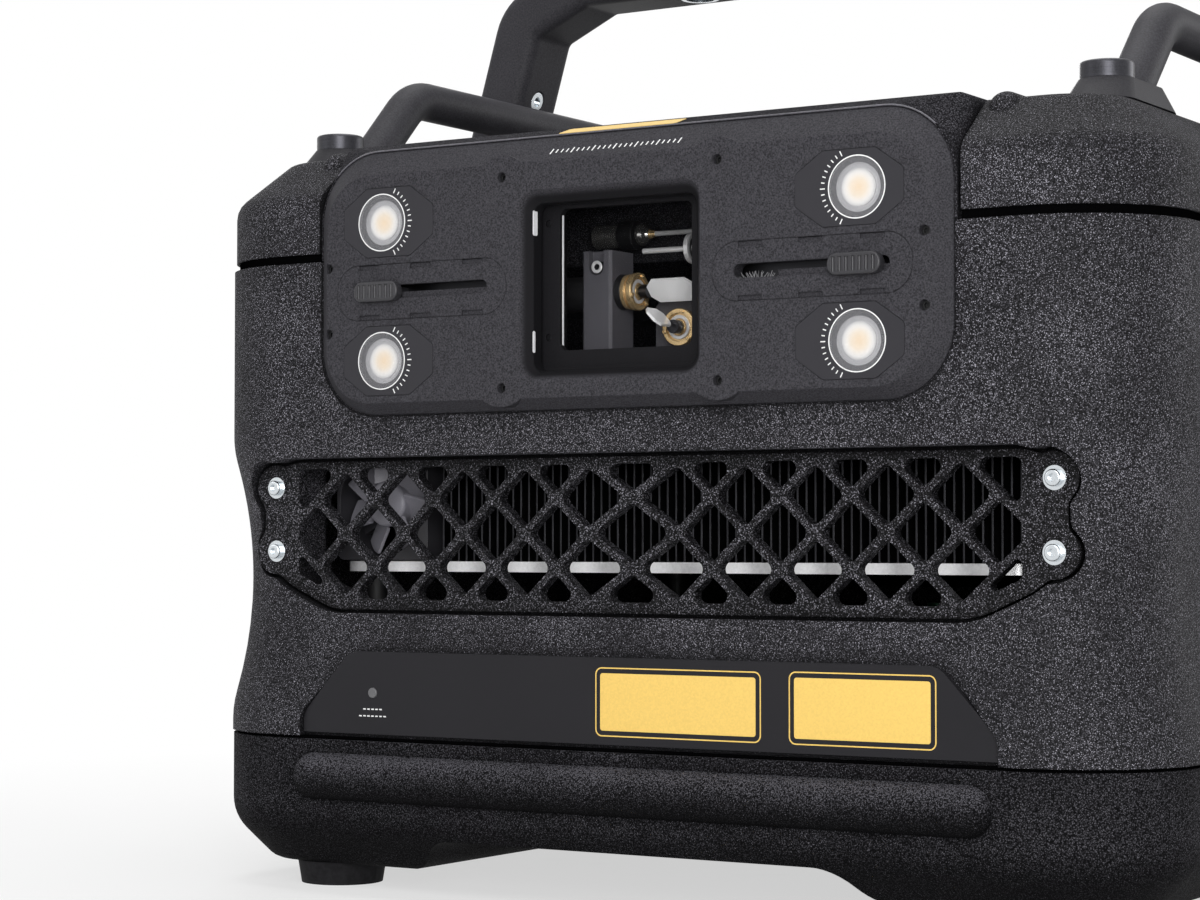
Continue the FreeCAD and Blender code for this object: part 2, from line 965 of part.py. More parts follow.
def grille_screws_at(y):
    """Washered pan-head screws standing in the grille's counterbores."""
    seat = y + washer_recess
    screws = []
    for x, z in grille_screw_places():
        washer = rod(washer_radius, V(x, seat - washer_thickness, z), Y_AXIS, washer_thickness)
        under = seat - washer_thickness
        head = rod(screw_head_radius, V(x, under - screw_head_height, z), Y_AXIS, screw_head_height)
        rim = [edge for edge in head.Edges if abs(edge.CenterOfMass.y - under + screw_head_height) < 1e-6]
        head = head.makeFillet(screw_head_height / 3, rim)
        socket = rod(socket_radius, V(x, under - screw_head_height, z), Y_AXIS, screw_head_height / 2)
        shank = rod(shank_radius, V(x, under, z), Y_AXIS, grille_thickness + washer_thickness + 2)
        screws.append(joined([washer, head, shank]).cut(socket))
    return group(screws)


def grille_port(shell, outer):
    """Adds the front grille's duct to a housing shell and opens its pocket and passage."""
    duct = grille_prism(grille_fit + duct_wall, front - housing_proud, front + duct_depth)
    shell = joined([shell, duct.common(outer)])
    pocket = grille_prism(grille_fit, front - housing_proud - 1, grille_back)
    passage = rounded_prism(mesh_points(-grille_fit / 2), cell_round, grille_back - 1, front + duct_depth + 1)
    cuts = [pocket, passage]
    for x, z in grille_screw_places():
        cuts.append(rod(shank_radius + shank_fit, V(x, grille_back, z), Y_AXIS, grille_thickness))
    return shell.cut(cuts)


def plate_screw_places():
    """Centres of the face plate's eight screws."""
    low = plate_bottom
    places = []
    for side in (-1, 1):
        for level in (inner_screw_low, inner_screw_high):
            places.append((side * inner_screw_x, low + level))
        for level in (side_screw_low, side_screw_high):
            places.append((side * side_screw_x, low + level))
    return places


def screw_tunnels(radius, y0, y1):
    return [rod(radius, V(x, y0, z), Y_AXIS, y1 - y0) for x, z in plate_screw_places()]


def plate_rim(grow):
    high = plate_bottom + plate_height
    wide = plate_half_width + grow
    return rectangle(-wide, wide, plate_bottom - grow, high + grow)


def pivot_boss():
    return rod(boss_radius, V(side_face - boss_gap - boss_depth, 0, pivot_level), X_AXIS, boss_depth)


def main_housing():
    outer = case_solid(housing_line(0))
    shell = outer.cut(case_solid(housing_line(wall)))
    boss = pivot_boss()
    shell = joined([shell, boss, mirrored_x(boss)])
    bore_start = V(side_face - boss_gap - boss_depth, 0, pivot_level)
    bore = rod(bush_radius + bush_fit, bore_start, X_AXIS, boss_depth)
    shell = shell.cut([bore, mirrored_x(bore)])
    shell = grille_port(shell, outer)
    shell = mirrored_y(grille_port(mirrored_y(shell), outer))
    pocket_back = front + panel_recess + panel_thickness
    backing = panel_prism(panel_back, front - housing_proud, pocket_back + panel_back)
    shell = joined([shell, backing.common(outer)])
    cuts = [panel_prism(panel_fit, front - 2 * wall, pocket_back)]
    light = housing_bottom + emission_level
    cuts.append(rod(emission_radius + emission_fit, V(emission_x, front, light), Y_AXIS,
                    panel_recess + panel_thickness + 2 * panel_back))
    cuts.append(rounded_prism(plate_rim(plate_fit), plate_round, front - 2 * wall, front))
    ledge = rectangle(-ledge_half_opening, ledge_half_opening, plate_bottom + ledge_step, lid_top)
    cuts.append(rounded_prism(ledge, wall, front - wall, front + 2 * wall))
    cuts += screw_tunnels(shank_radius + shank_fit, front - wall, front + 2 * wall)
    cuts.append(rear_opening())
    return shell.cut(cuts)


def rear_opening():
    wide = rear_opening_half_width
    points = rectangle(-wide, wide, rear_panel_low + wall, rear_panel_high - wall)
    return rounded_prism(points, rear_opening_round, half_depth - 2 * wall, half_depth + wall)


def lid_line(inset):
    points = [
        (0.0, lid_bottom),
        (0.0, lid_shoulder),
        (-lid_bevel_inset, lid_top),
        (-lid_bevel_inset - flat_margin, lid_top),
    ]
    if inset:
        points = offset_line(points, inset)
    return softened(points, [lid_shoulder_round - inset, lid_edge_round - inset])


def lid_notch():
    """Room for the hood in the front of the lid."""
    wide = hood_half_width + hood_groove
    length = hood_length + hood_groove
    notch = block(-wide, wide, front - wall, front + length, housing_top, lid_top + 2 * wall)
    corners = [e for e in notch.Edges if e.Length > wall * 4 and abs(e.CenterOfMass.y - front - length) < 1e-6]
    upright = [e for e in corners if abs(e.BoundBox.ZLength - e.Length) < 1e-6]
    return notch.makeFillet(hood_groove, upright)


def lid_bead():
    """Raised bead along one side of the hood's notch, with a ball nose."""
    x = hood_half_width + hood_groove + bead_inset
    z = lid_top + bead_proud - bead_radius
    start = front + lid_bevel_inset
    length = hood_length + hood_groove - lid_bevel_inset
    bar = rod(bead_radius, V(x, start, z), Y_AXIS, length)
    balls = [Part.makeSphere(bead_radius, V(x, y, z)) for y in (start, start + length)]
    return joined([bar] + balls)


def top_lid():
    bead = lid_bead()
    outer = joined([case_solid(lid_line(0)), bead, mirrored_x(bead)])
    lid = outer.cut([case_solid(lid_line(wall)), lid_notch()])
    holes = []
    for x, y in cap_places():
        holes.append(rod(cap_socket_radius, V(x, y, lid_bottom), Z_AXIS, lid_top))
    return lid.cut(holes)


def seam_seal(z0, z1):
    return case_ring(seal_inset, seal_inset + seal_width, z0, z1)


def lid_seal():
    wide = hood_half_width + hood_groove
    gap = block(-wide, wide, front - wall, front + 2 * wall, housing_top, lid_bottom)
    return seam_seal(housing_top, lid_bottom).cut(gap)


def hood_wire(y, inset, top, corner):
    """Upright outline of the hood at depth y, square below and round at the top corners."""
    wide = hood_half_width - inset
    bottom = housing_top + hood_seat_gap - inset
    nip = corner * (1 - math.sqrt(0.5))
    edges = [
        Part.makeLine(V(-wide, y, bottom), V(wide, y, bottom)),
        Part.makeLine(V(wide, y, bottom), V(wide, y, top - corner)),
        Part.Arc(V(wide, y, top - corner), V(wide - nip, y, top - nip), V(wide - corner, y, top)).toShape(),
        Part.makeLine(V(wide - corner, y, top), V(corner - wide, y, top)),
        Part.Arc(V(corner - wide, y, top), V(nip - wide, y, top - nip), V(-wide, y, top - corner)).toShape(),
        Part.makeLine(V(-wide, y, top - corner), V(-wide, y, bottom)),
    ]
    return Part.Wire(edges)


def hood_solid(inset):
    """Hood that flares from the face plate's round corners to tighter ones behind, moved in by a wall."""
    high = lid_top + hood_proud
    back = front + hood_length
    share = inset / hood_slope
    front_round = plate_round + hood_margin
    wires = [
        hood_wire(front + inset, inset, high - inset - hood_front_drop * (1 - share),
                  front_round - inset - (front_round - hood_corner_round) * share),
        hood_wire(front + hood_slope, inset, high - inset, hood_corner_round - inset),
        hood_wire(back - hood_rear_drop - inset, inset, high - inset, hood_corner_round - inset),
        hood_wire(back - inset, inset, high - inset - hood_rear_drop, hood_corner_round - inset),
    ]
    return Part.makeLoft(wires, True, True)


def aperture_hood():
    bottom = housing_top + hood_seat_gap
    high = plate_bottom + aperture_high + hood_opening_margin
    wide = hood_opening_half_width
    opening = rectangle(-wide, wide, bottom - 2 * wall, high)
    cuts = [hood_solid(wall), rounded_prism(opening, wall, front - wall, front + 2 * wall)]
    cuts += screw_tunnels(shank_radius + shank_fit, front - wall, front + 2 * wall)
    return hood_solid(0).cut(cuts)


def aperture_points(grow_x, grow_low, grow_high):
    wide = aperture_half_width + grow_x
    return rectangle(-wide, wide, plate_bottom + aperture_low - grow_low, plate_bottom + aperture_high + grow_high)


def aperture_cut():
    """Bevelled mouth narrowing into a straight tunnel."""
    y0 = plate_front - 1
    y1 = plate_front + aperture_bevel_depth
    share = 1 + 1 / aperture_bevel_depth
    wide = aperture_points(aperture_bevel * share, aperture_bevel_bottom * share, aperture_bevel_top * share)
    mouth = Part.makeLoft([
        rounded_wire(wide, aperture_round + aperture_bevel, y0),
        rounded_wire(aperture_points(0, 0, 0), aperture_round, y1),
    ], True, True)
    tunnel = rounded_prism(aperture_points(0, 0, 0), aperture_round, y1, front + collar_depth + 1)
    return [mouth, tunnel]


def bezel_points(side, level, grow):
    """Octagon of one strobe bezel, seen from the front."""
    x = side * (strobe_x - bezel_shift)
    z = plate_bottom + level
    wide = bezel_half_width + grow
    tall = bezel_half_height + grow
    top = bezel_top_half + grow / 2
    flank = bezel_side_half + grow / 2
    corners = [(-top, tall), (top, tall), (wide, flank), (wide, -flank)]
    corners += [(-a, -b) for a, b in corners]
    return [(x + a, z + b) for a, b in corners]


def strobe_places():
    return [(side, level) for side in (-1, 1) for level in (strobe_low, strobe_high)]


def track_points(half_length, half_height):
    z = plate_bottom + track_level
    return rectangle(track_center_x - half_length, track_center_x + half_length, z - half_height, z + half_height)


def track_prism(grow, y0, y1):
    half_height = track_half_height + grow
    return rounded_prism(track_points(track_half_length + grow, half_height), half_height * 0.99, y0, y1)


def slot_prism(grow, y0, y1):
    half_height = slot_half_height + grow
    return rounded_prism(track_points(slot_half_length + grow, half_height), half_height * 0.98, y0, y1)


def face_plate():
    high = plate_bottom + plate_height
    rim = rounded_wire(plate_rim(0), plate_round, front)
    wide = plate_half_width - plate_bevel_side
    low_edge = plate_bottom + plate_bevel_bottom
    high_edge = high - plate_bevel_top
    flat = rounded_wire(rectangle(-wide, wide, low_edge, high_edge), plate_flat_round, plate_front)
    plate = Part.makeLoft([rim, flat], True, True)
    tabs = []
    for x in (-inner_screw_x, inner_screw_x):
        for z in (low_edge - tab_lift + tab_radius, high_edge + tab_lift - tab_radius):
            tabs.append(rod(tab_radius, V(x, plate_front, z), Y_AXIS, plate_thickness - 1))
    collar_outline = aperture_points(collar_wall, collar_wall, collar_wall)
    collar = rounded_prism(collar_outline, aperture_round + collar_wall, plate_front + 1, front + collar_depth)
    plate = joined([plate, collar] + tabs)
    cuts = aperture_cut()
    for side, level in strobe_places():
        pocket = bezel_points(side, level, strobe_gap)
        cuts.append(rounded_prism(pocket, bezel_round, plate_front - 1, plate_front + bezel_thickness))
        center = V(side * strobe_x, plate_front, plate_bottom + level)
        well = bezel_thickness + led_board_thickness + led_dot_height + strobe_gap
        cuts.append(rod(led_board_radius + strobe_gap, center, Y_AXIS, well))
    track = track_prism(strobe_gap, plate_front - 1, plate_front + track_thickness)
    slot = slot_prism(slot_fit, plate_front, front + 1)
    cuts += [track, slot, mirrored_x(track), mirrored_x(slot)]
    cuts += screw_tunnels(screw_hole_radius, plate_front - 1, plate_front + screw_hole_depth)
    cuts += screw_tunnels(shank_radius + shank_fit, plate_front, front + 1)
    return plate.cut(cuts)


def face_plate_screws():
    """Small socket screws sunk in the face plate."""
    screws = []
    seat = plate_front + screw_hole_depth
    head_length = plate_screw_head
    for x, z in plate_screw_places():
        head = rod(screw_hole_radius - shank_fit, V(x, seat - head_length, z), Y_AXIS, head_length)
        shank = rod(shank_radius, V(x, seat, z), Y_AXIS, front + wall - seat - shank_fit)
        socket = rod(shank_radius * 0.8, V(x, seat - head_length, z), Y_AXIS, head_length / 2)
        screws.append(joined([head, shank]).cut(socket))
    return group(screws)


def strobe_bezels():
    bezels = []
    for side, level in strobe_places():
        plate = rounded_prism(bezel_points(side, level, 0), bezel_round, plate_front,
                              plate_front + bezel_thickness)
        center = V(side * strobe_x, plate_front, plate_bottom + level)
        seat = rod(lens_radius + strobe_gap / 2, center, Y_AXIS, lens_thickness)
        light = rod(led_dot_radius + 2, center, Y_AXIS, bezel_thickness)
        bezels.append(plate.cut([seat, light]))
    return group(bezels)


def strobe_lenses():
    lenses = []
    for side, level in strobe_places():
        lenses.append(rod(lens_radius, V(side * strobe_x, plate_front, plate_bottom + level), Y_AXIS, lens_thickness))
    return group(lenses)


def strobe_leds():
    """Round boards with a raised light-emitting dot under each lens."""
    leds = []
    for side, level in strobe_places():
        y = plate_front + bezel_thickness + led_dot_height
        center = V(side * strobe_x, y, plate_bottom + level)
        board = rod(led_board_radius, center, Y_AXIS, led_board_thickness)
        dot = rod(led_dot_radius, center - V(0, led_dot_height, 0), Y_AXIS, led_dot_height)
        leds.append(joined([board, dot]))
    return group(leds)


def slot_lip(open_end):
    """Lip behind the lower half of a slot; it leaves the slot's inner end open."""
    back = plate_front + track_thickness
    whole = slot_prism(slot_lip_lap, back, back + slot_lip_thickness)
    z = plate_bottom + track_level
    inner = track_center_x - slot_half_length - slot_lip_lap + open_end
    keep = block(inner, track_outer_x, back, back + slot_lip_thickness, z - track_half_height, z - slot_lip_drop)
    return whole.common(keep)


def slider_tracks():
    """Stadium inserts with a slot, a lip behind it and three clip notches along each long edge."""
    track = track_prism(0, plate_front, plate_front + track_thickness)
    cuts = [slot_prism(0, plate_front - 1, plate_front + track_thickness + 1)]
    z = plate_bottom + track_level
    reach = track_half_length - track_half_height - clip_length / 2
    for step in (-1, 0, 1):
        x = track_center_x + step * reach
        for side in (-1, 1):
            edge = z + side * track_half_height
            low = min(edge, edge - side * clip_depth)
            cuts.append(block(x - clip_length / 2, x + clip_length / 2, plate_front - 1,
                              plate_front + track_thickness / 2, low, low + clip_depth))
    track = track.cut(cuts)
    right = joined([track, slot_lip(slot_lip_open_end)])
    left = joined([track, slot_lip(0)])
    return group([right, mirrored_x(left)])


def slot_brushes():
    """Brush strips above and below each slot, behind the face plate."""
    z = plate_bottom + track_level
    low = slot_half_height + brush_gap
    strips = []
    for side in (-1, 1):
        edge = z + side * low
        far = edge + side * brush_height
        strips.append(block(track_center_x - slot_half_length, track_center_x + slot_half_length,
                            front, front + brush_depth, min(edge, far), max(edge, far)))
    return group(strips + [mirrored_x(strip) for strip in strips])


def button_center():
    return track_center_x + slot_half_length - button_end_gap - button_length / 2


def slider_button():
    """Ribbed grip at the outer end of its slot, with a stem that reaches the mask blade."""
    x = button_center()
    z = plate_bottom + track_level
    y0 = plate_front - mask_gap - button_depth
    half = button_length / 2
    tall = button_height / 2
    outline = rectangle(x - half, x + half, z - tall, z + tall)
    grip = rounded_prism(outline, button_round, y0, plate_front - mask_gap)
    rim = [e for e in grip.Edges if abs(e.BoundBox.YMax - y0) < 1e-6]
    grip = grip.makeFillet(button_edge_round, rim)
    pitch = (button_length - 2 * button_rim) / button_rib_count
    cuts = []
    for index in range(button_rib_count):
        groove = V(x - half + button_rim + (index + 0.5) * pitch, y0, z - tall + button_rim)
        cuts.append(rod(button_rib_depth, groove, Z_AXIS, button_height - 2 * button_rim))
    stem = block(x - stem_length / 2, x + stem_length / 2, y0 + button_depth / 2, blade_front,
                 z + stem_low, z + slot_half_height - mask_gap)
    return joined([grip.cut(cuts), stem])


def mask_blade():
    """Thin shutter with an arm that carries the slider's stem."""
    z = plate_bottom + track_level
    back = blade_front + blade_thickness
    plate = rounded_prism(rectangle(blade_inner_x, blade_outer_x, plate_bottom + blade_low,
                                    plate_bottom + blade_high), blade_round, blade_front, back)
    arm_end = button_center() + stem_length / 2 + 2
    arm = block(blade_outer_x - 5, arm_end, blade_front, back, z - arm_half_height, z + arm_half_height)
    return joined([plate, arm])


def frame_screw_places():
    low = plate_bottom + frame_opening_low + frame_screw_margin
    high = plate_bottom + frame_opening_high - frame_screw_margin
    return [(side * frame_screw_x, level) for side in (-1, 1) for level in (low, high)]


def window_frame():
    """Frame round the glass whose upper and lower lips guide the mask blades."""
    low = plate_bottom + blade_low - mask_gap - frame_lip
    high = plate_bottom + blade_high + mask_gap + frame_lip
    wide = frame_half_width
    body = rounded_prism(rectangle(-wide, wide, low, high), frame_round, frame_front, bench_front)
    lip_front = blade_front - blade_gap / 2
    lips = [
        block(-wide + 3, wide - 3, lip_front, frame_front, low, low + frame_lip),
        block(-wide + 3, wide - 3, lip_front, frame_front, high - frame_lip, high),
    ]
    opening = rectangle(-frame_opening_half_width, frame_opening_half_width,
                        plate_bottom + frame_opening_low, plate_bottom + frame_opening_high)
    cuts = [rounded_prism(opening, frame_opening_round, frame_front - 1, bench_front + 1)]
    for x, z in frame_screw_places():
        sunk = frame_screw_head + frame_screw_sunk
        cuts.append(rod(frame_screw_radius + shank_fit, V(x, frame_front, z), Y_AXIS, sunk))
        cuts.append(rod(frame_screw_radius / 2 + shank_fit, V(x, frame_front, z), Y_AXIS, frame_thickness))
    return joined([body] + lips).cut(cuts)


def window_frame_screws():
    screws = []
    for x, z in frame_screw_places():
        seat = frame_front + frame_screw_head + frame_screw_sunk
        head = rod(frame_screw_radius, V(x, seat - frame_screw_head, z), Y_AXIS, frame_screw_head)
        shank = rod(frame_screw_radius / 2, V(x, seat, z), Y_AXIS, bench_front - seat - shank_fit)
        screws.append(joined([head, shank]))
    return group(screws)


def glass_prism(grow, y0, y1):
    wide = frame_opening_half_width + glass_margin + grow
    low = plate_bottom + frame_opening_low - glass_margin - grow
    high = plate_bottom + frame_opening_high + glass_margin + grow
    return rounded_prism(rectangle(-wide, wide, low, high), glass_round, y0, y1)


def aperture_glass():
    return glass_prism(0, bench_front, bench_front + glass_thickness)


def post_places():
    ys = (bench_front + post_front, bench_front + post_rear)
    return [(x, y) for x in (-post_x, post_x) for y in ys]


def optical_bench():
    """Cast bench plate with an upright front wall that seats the window glass."""
    plate = block(-bench_half_width, bench_half_width, bench_front, bench_front + bench_length,
                  bench_bottom, bench_top)
    upright = [e for e in plate.Edges if abs(e.BoundBox.ZLength - bench_thickness) < 1e-6]
    plate = plate.makeFillet(bench_thickness, upright)
    wide = bench_wall_half_width
    wall_back = bench_front + bench_wall_thickness
    front_wall = block(-wide, wide, bench_front, wall_back, bench_top, plate_bottom + bench_wall_top)
    opening = rectangle(-frame_opening_half_width - 2, frame_opening_half_width + 2,
                        plate_bottom + frame_opening_low - 2, plate_bottom + frame_opening_high + 2)
    cuts = [
        glass_prism(glass_gap, bench_front - 1, bench_front + glass_thickness),
        rounded_prism(opening, frame_opening_round, bench_front, wall_back + 1),
    ]
    for x, y in post_places():
        cuts.append(rod(shank_radius + 1.5, V(x, y, bench_bottom), Z_AXIS, bench_thickness))
    gusset = [(wall_back, bench_top), (wall_back + 30, bench_top), (wall_back, bench_top + 45)]
    ribs = []
    for x in (-wide, wide - 5):
        corners = [V(x, y, z) for y, z in gusset]
        ribs.append(Part.Face(Part.makePolygon(corners + corners[:1])).extrude(V(5, 0, 0)))
    return joined([plate, front_wall] + ribs).cut(cuts)


def bench_posts():
    """Four pillars from the base floor to the underside of the bench."""
    posts = []
    floor = foot_height + wall
    for x, y in post_places():
        pillar = rod(post_radius, V(x, y, floor), Z_AXIS, bench_bottom - floor)
        screw = rod(shank_radius + 1.2, V(x, y, bench_bottom), Z_AXIS, bench_thickness)
        head = rod(shank_radius + 3.2, V(x, y, bench_top), Z_AXIS, 3.0)
        posts.append(joined([pillar, screw, head]))
    return group(posts)


def galvo_axis_point(level):
    return V(0, front + galvo_depth, plate_bottom + level)


def output_clamp():
    """Slim post that clamps the output motor, with a notch for its pinch screw."""
    y = front + galvo_depth
    x0 = clamp_face_x - clamp_width
    top = plate_bottom + clamp_top
    post = block(x0, clamp_face_x, y - clamp_half_depth, y + clamp_half_depth, bench_top, top)
    corner = [e for e in post.Edges if abs(e.BoundBox.ZLength - (top - bench_top)) < 1e-6]
    post = post.makeChamfer(1.0, corner)
    x = clamp_face_x - clamp_width / 2
    notch_low = top - notch_depth
    notch = block(x - notch_width / 2, x + notch_width / 2, y - clamp_half_depth - 1,
                  y - clamp_half_depth + 3, notch_low, top + 1)
    bowl = rod(notch_width / 2, V(x, y - clamp_half_depth - 1, notch_low), Y_AXIS, 4)
    bore = rod(galvo_radius + galvo_fit, V(x0 - 1, y, plate_bottom + output_level), X_AXIS, clamp_width + 2)
    screw = rod(shank_radius + shank_fit, V(x, y - clamp_half_depth, notch_low), Y_AXIS, clamp_half_depth * 2)
    return post.cut([notch, bowl, bore, screw])


def clamp_screw():
    x = clamp_face_x - clamp_width / 2
    z = plate_bottom + clamp_top - notch_depth
    y = front + galvo_depth - clamp_half_depth + 3
    head = rod(clamp_screw_radius, V(x, y - 2.6, z), Y_AXIS, 2.6)
    shank = rod(shank_radius, V(x, y, z), Y_AXIS, 6)
    socket = rod(socket_radius, V(x, y - 2.6, z), Y_AXIS, 1.6)
    return joined([head, shank]).cut(socket)


def input_block():
    """Low block behind the input motor's ring, bored to hold the motor."""
    y = front + input_face_depth + galvo_ring_length + block_gap
    wide = block_half_width
    body = block(-wide, wide, y, y + block_length, bench_top, plate_bottom + block_top)
    z = plate_bottom + input_level
    bore = rod(galvo_radius + galvo_fit, V(0, y - 1, z), Y_AXIS, block_length + 2)
    edges = [e for e in body.Edges if abs(e.BoundBox.YLength - block_length) < 1e-6]
    return body.makeChamfer(1.5, [e for e in edges if e.CenterOfMass.z > z]).cut(bore)


def galvo_motor():
    """Motor with its brass front ring, lying along +Z from the ring's face at the origin."""
    ring = rod(galvo_ring_radius, ORIGIN, Z_AXIS, galvo_ring_length)
    notches = []
    for index in range(3):
        slot = block(galvo_ring_radius - 1.6, galvo_ring_radius + 1, -0.8, 0.8, -1, galvo_ring_length - 1)
        notches.append(turned(slot, 120 * index + 30))
    body = rod(galvo_radius, V(0, 0, galvo_ring_length), Z_AXIS, galvo_length)
    bore = rod(galvo_shaft_radius + galvo_fit, V(0, 0, -1), Z_AXIS, galvo_shaft_length + 3)
    return joined([ring.cut(notches), body]).cut(bore)


def galvo_rotor(outline, offset):
    """Shaft, slotted holder and mirror; the mirror stands along minus Z in the XZ plane."""
    shaft = rod(galvo_shaft_radius, V(0, 0, -holder_length), Z_AXIS, holder_length + galvo_shaft_length)
    holder = rod(holder_radius, V(0, 0, -holder_length - 1), Z_AXIS, holder_length)
    corners = [V(x + offset, -mirror_thickness / 2, -z - holder_length - 0.5) for x, z in outline]
    glass = Part.Face(Part.makePolygon(corners + corners[:1])).extrude(V(0, mirror_thickness, 0))
    return joined([shaft, holder]).cut(glass), glass


def output_outline():
    half = output_mirror_width / 2
    cut = output_mirror_corner
    length = output_mirror_length
    side = [(half - cut, 0), (half, cut), (half, length - cut), (half - cut, length)]
    return side + [(-x, z) for x, z in reversed(side)]


def input_outline():
    half = input_mirror_width / 2
    cut = half / 2
    length = input_mirror_length
    side = [(half - cut, 0), (half, cut), (half, length - cut), (half - cut, length)]
    return side + [(-x, z) for x, z in reversed(side)]


def place_output(shape):
    """Axis +Z of the motor frame turned to minus X, mirror tilted to face front and down."""
    placed = turned(shape, -45, Z_AXIS)
    placed = turned(placed, -90, Y_AXIS)
    place = galvo_axis_point(output_level)
    return moved(placed, output_face_x, place.y, place.z)


def place_input(shape):
    """Axis +Z of the motor frame turned to +Y, mirror tilted to send a sideways beam up."""
    placed = turned(shape, 45, Z_AXIS)
    placed = turned(placed, -90, X_AXIS)
    return moved(placed, 0, front + input_face_depth, plate_bottom + input_level)


def steering_mount():
    """Bracket with a round-rimmed mirror seat, adjuster collar and two thin rods."""
    rim_z = plate_bottom + rim_level
    rim_y = front + galvo_depth + clamp_half_depth
    y = front + adjuster_depth
    level = plate_bottom + adjuster_level
    x = adjuster_x
    upright = block(rim_x, rim_x + steer_wall, rim_y - rim_radius, y + adjuster_radius, bench_top,
                    level + adjuster_radius)
    rim = tube(rim_radius, rim_bore, V(rim_x - rim_depth, rim_y, rim_z), X_AXIS, rim_depth)
    thread = rod(adjuster_rod_radius, V(x, y, level), X_AXIS, rim_x - x)
    knurl = rod(adjuster_radius, V(x, y, level), X_AXIS, 7)
    nut = rod(adjuster_radius * 0.66, V(x + 7, y, level), X_AXIS, 4)
    tail = rod(adjuster_radius * 0.7, V(x - 8, y, level), X_AXIS, 8)
    guide = rod(adjuster_rod_radius, V(guide_x, rim_y, level - 8.5), X_AXIS, rim_x - guide_x)
    return joined([upright, rim, thread, knurl, nut, tail, guide])


def module_ys():
    return [bench_front + module_first + index * module_pitch for index in range(module_count)]


def laser_modules():
    """Finned module blocks, each with a round nose towards the combining filters."""
    modules = []
    for y in module_ys():
        half = module_width / 2
        body = block(module_x, module_x + module_length, y - half, y + half, bench_top, bench_top + module_height)
        pitch = module_length / module_fin_count
        slots = []
        for index in range(module_fin_count):
            x = module_x + (index + 0.3) * pitch
            top = bench_top + module_height
            slots.append(block(x, x + pitch * 0.4, y - half, y + half, top - module_fin_depth, top))
        start = V(module_x - module_nose_length, y, plate_bottom + input_level)
        nose = rod(module_nose_radius, start, X_AXIS, module_nose_length)
        port = rod(module_nose_radius / 3, start, X_AXIS, module_nose_length / 2)
        modules.append(joined([body.cut(slots), nose]).cut(port))
    return group(modules)


def filter_frame(y):
    return V(filter_x, y, plate_bottom + input_level)


def filter_mounts():
    """Posts with a sloping slot that hold the combining filters at 45 degrees."""
    mounts = []
    for y in module_ys():
        place = filter_frame(y)
        half = filter_mount_width / 2
        post = block(-half, half, -filter_thickness * 2, filter_thickness * 2, bench_top, place.z)
        slot = block(-filter_size / 2 - glass_gap, filter_size / 2 + glass_gap, -filter_thickness / 2 - glass_gap,
                     filter_thickness / 2 + glass_gap, place.z - filter_size / 2, place.z + 1)
        mounts.append(moved(turned(post.cut(slot), 45), place.x, place.y, 0))
    return group(mounts)


def combining_filters():
    filters = []
    for y in module_ys():
        place = filter_frame(y)
        half = filter_size / 2
        plate = block(-half, half, -filter_thickness / 2, filter_thickness / 2, place.z - half, place.z + half)
        filters.append(moved(turned(plate, 45), place.x, place.y, 0))
    return group(filters)


def heatsink():
    """Comb of thin upright fins hanging from a root plate under the bench."""
    y = front + duct_depth + heatsink_gap
    low = duct_plate_level + duct_plate_thickness
    root = bench_bottom - heatsink_root
    count = int((heatsink_right - heatsink_left - fin_thickness) / fin_pitch)
    points = [(heatsink_left, bench_bottom), (heatsink_left, low)]
    for index in range(count):
        x = heatsink_left + index * fin_pitch + fin_thickness
        points += [(x, low), (x, root), (x + fin_pitch - fin_thickness, root)]
        points.append((x + fin_pitch - fin_thickness, low))
    end = heatsink_left + count * fin_pitch + fin_thickness
    points += [(end, low), (end, bench_bottom)]
    return straight_prism(points, y, y + heatsink_length)


def duct_plate():
    """Bright plate under the fins, with rounded corners."""
    y = front + duct_depth + heatsink_gap
    z = duct_plate_level
    wide = duct_plate_half_width
    plate = block(-wide, wide, y, y + heatsink_length, z, z + duct_plate_thickness)
    ends = [e for e in plate.Edges if abs(e.BoundBox.ZLength - duct_plate_thickness) < 1e-6]
    return plate.makeFillet(2 * duct_plate_thickness, ends)


def fan_level():
    return bench_bottom - fan_size / 2 - floor_gap


def fan_places():
    """Centre of each fan's front face and the turn that points it outward."""
    y = front + duct_depth + fan_gap
    rear = -y
    return [(front_fan_x, y, 0), (-rear_fan_x, rear, 180), (rear_fan_x, rear, 180)]


def place_fan(shape, place):
    x, y, angle = place
    return moved(turned(shape, angle), x, y, fan_level())


def fan_frame():
    """Square frame, round bore and a spoked backing that carries the shaft bearing."""
    half = fan_size / 2
    body = rounded_prism(rectangle(-half, half, -half, half), 4.0, 0, fan_depth)
    body = body.cut(rod(fan_bore, ORIGIN, Y_AXIS, fan_depth))
    back = fan_depth - fan_backing
    hub = rod(fan_hub_radius, V(0, back, 0), Y_AXIS, fan_backing)
    spokes = []
    for index in range(fan_spokes):
        spoke = block(-fan_spoke_width / 2, fan_spoke_width / 2, back, fan_depth, 0, fan_bore + 0.5)
        spokes.append(turned(spoke, 360 / fan_spokes * index, Y_AXIS))
    bore = rod(fan_shaft_radius + fan_shaft_fit, V(0, back, 0), Y_AXIS, fan_backing)
    return joined([body, hub] + spokes).cut(bore)


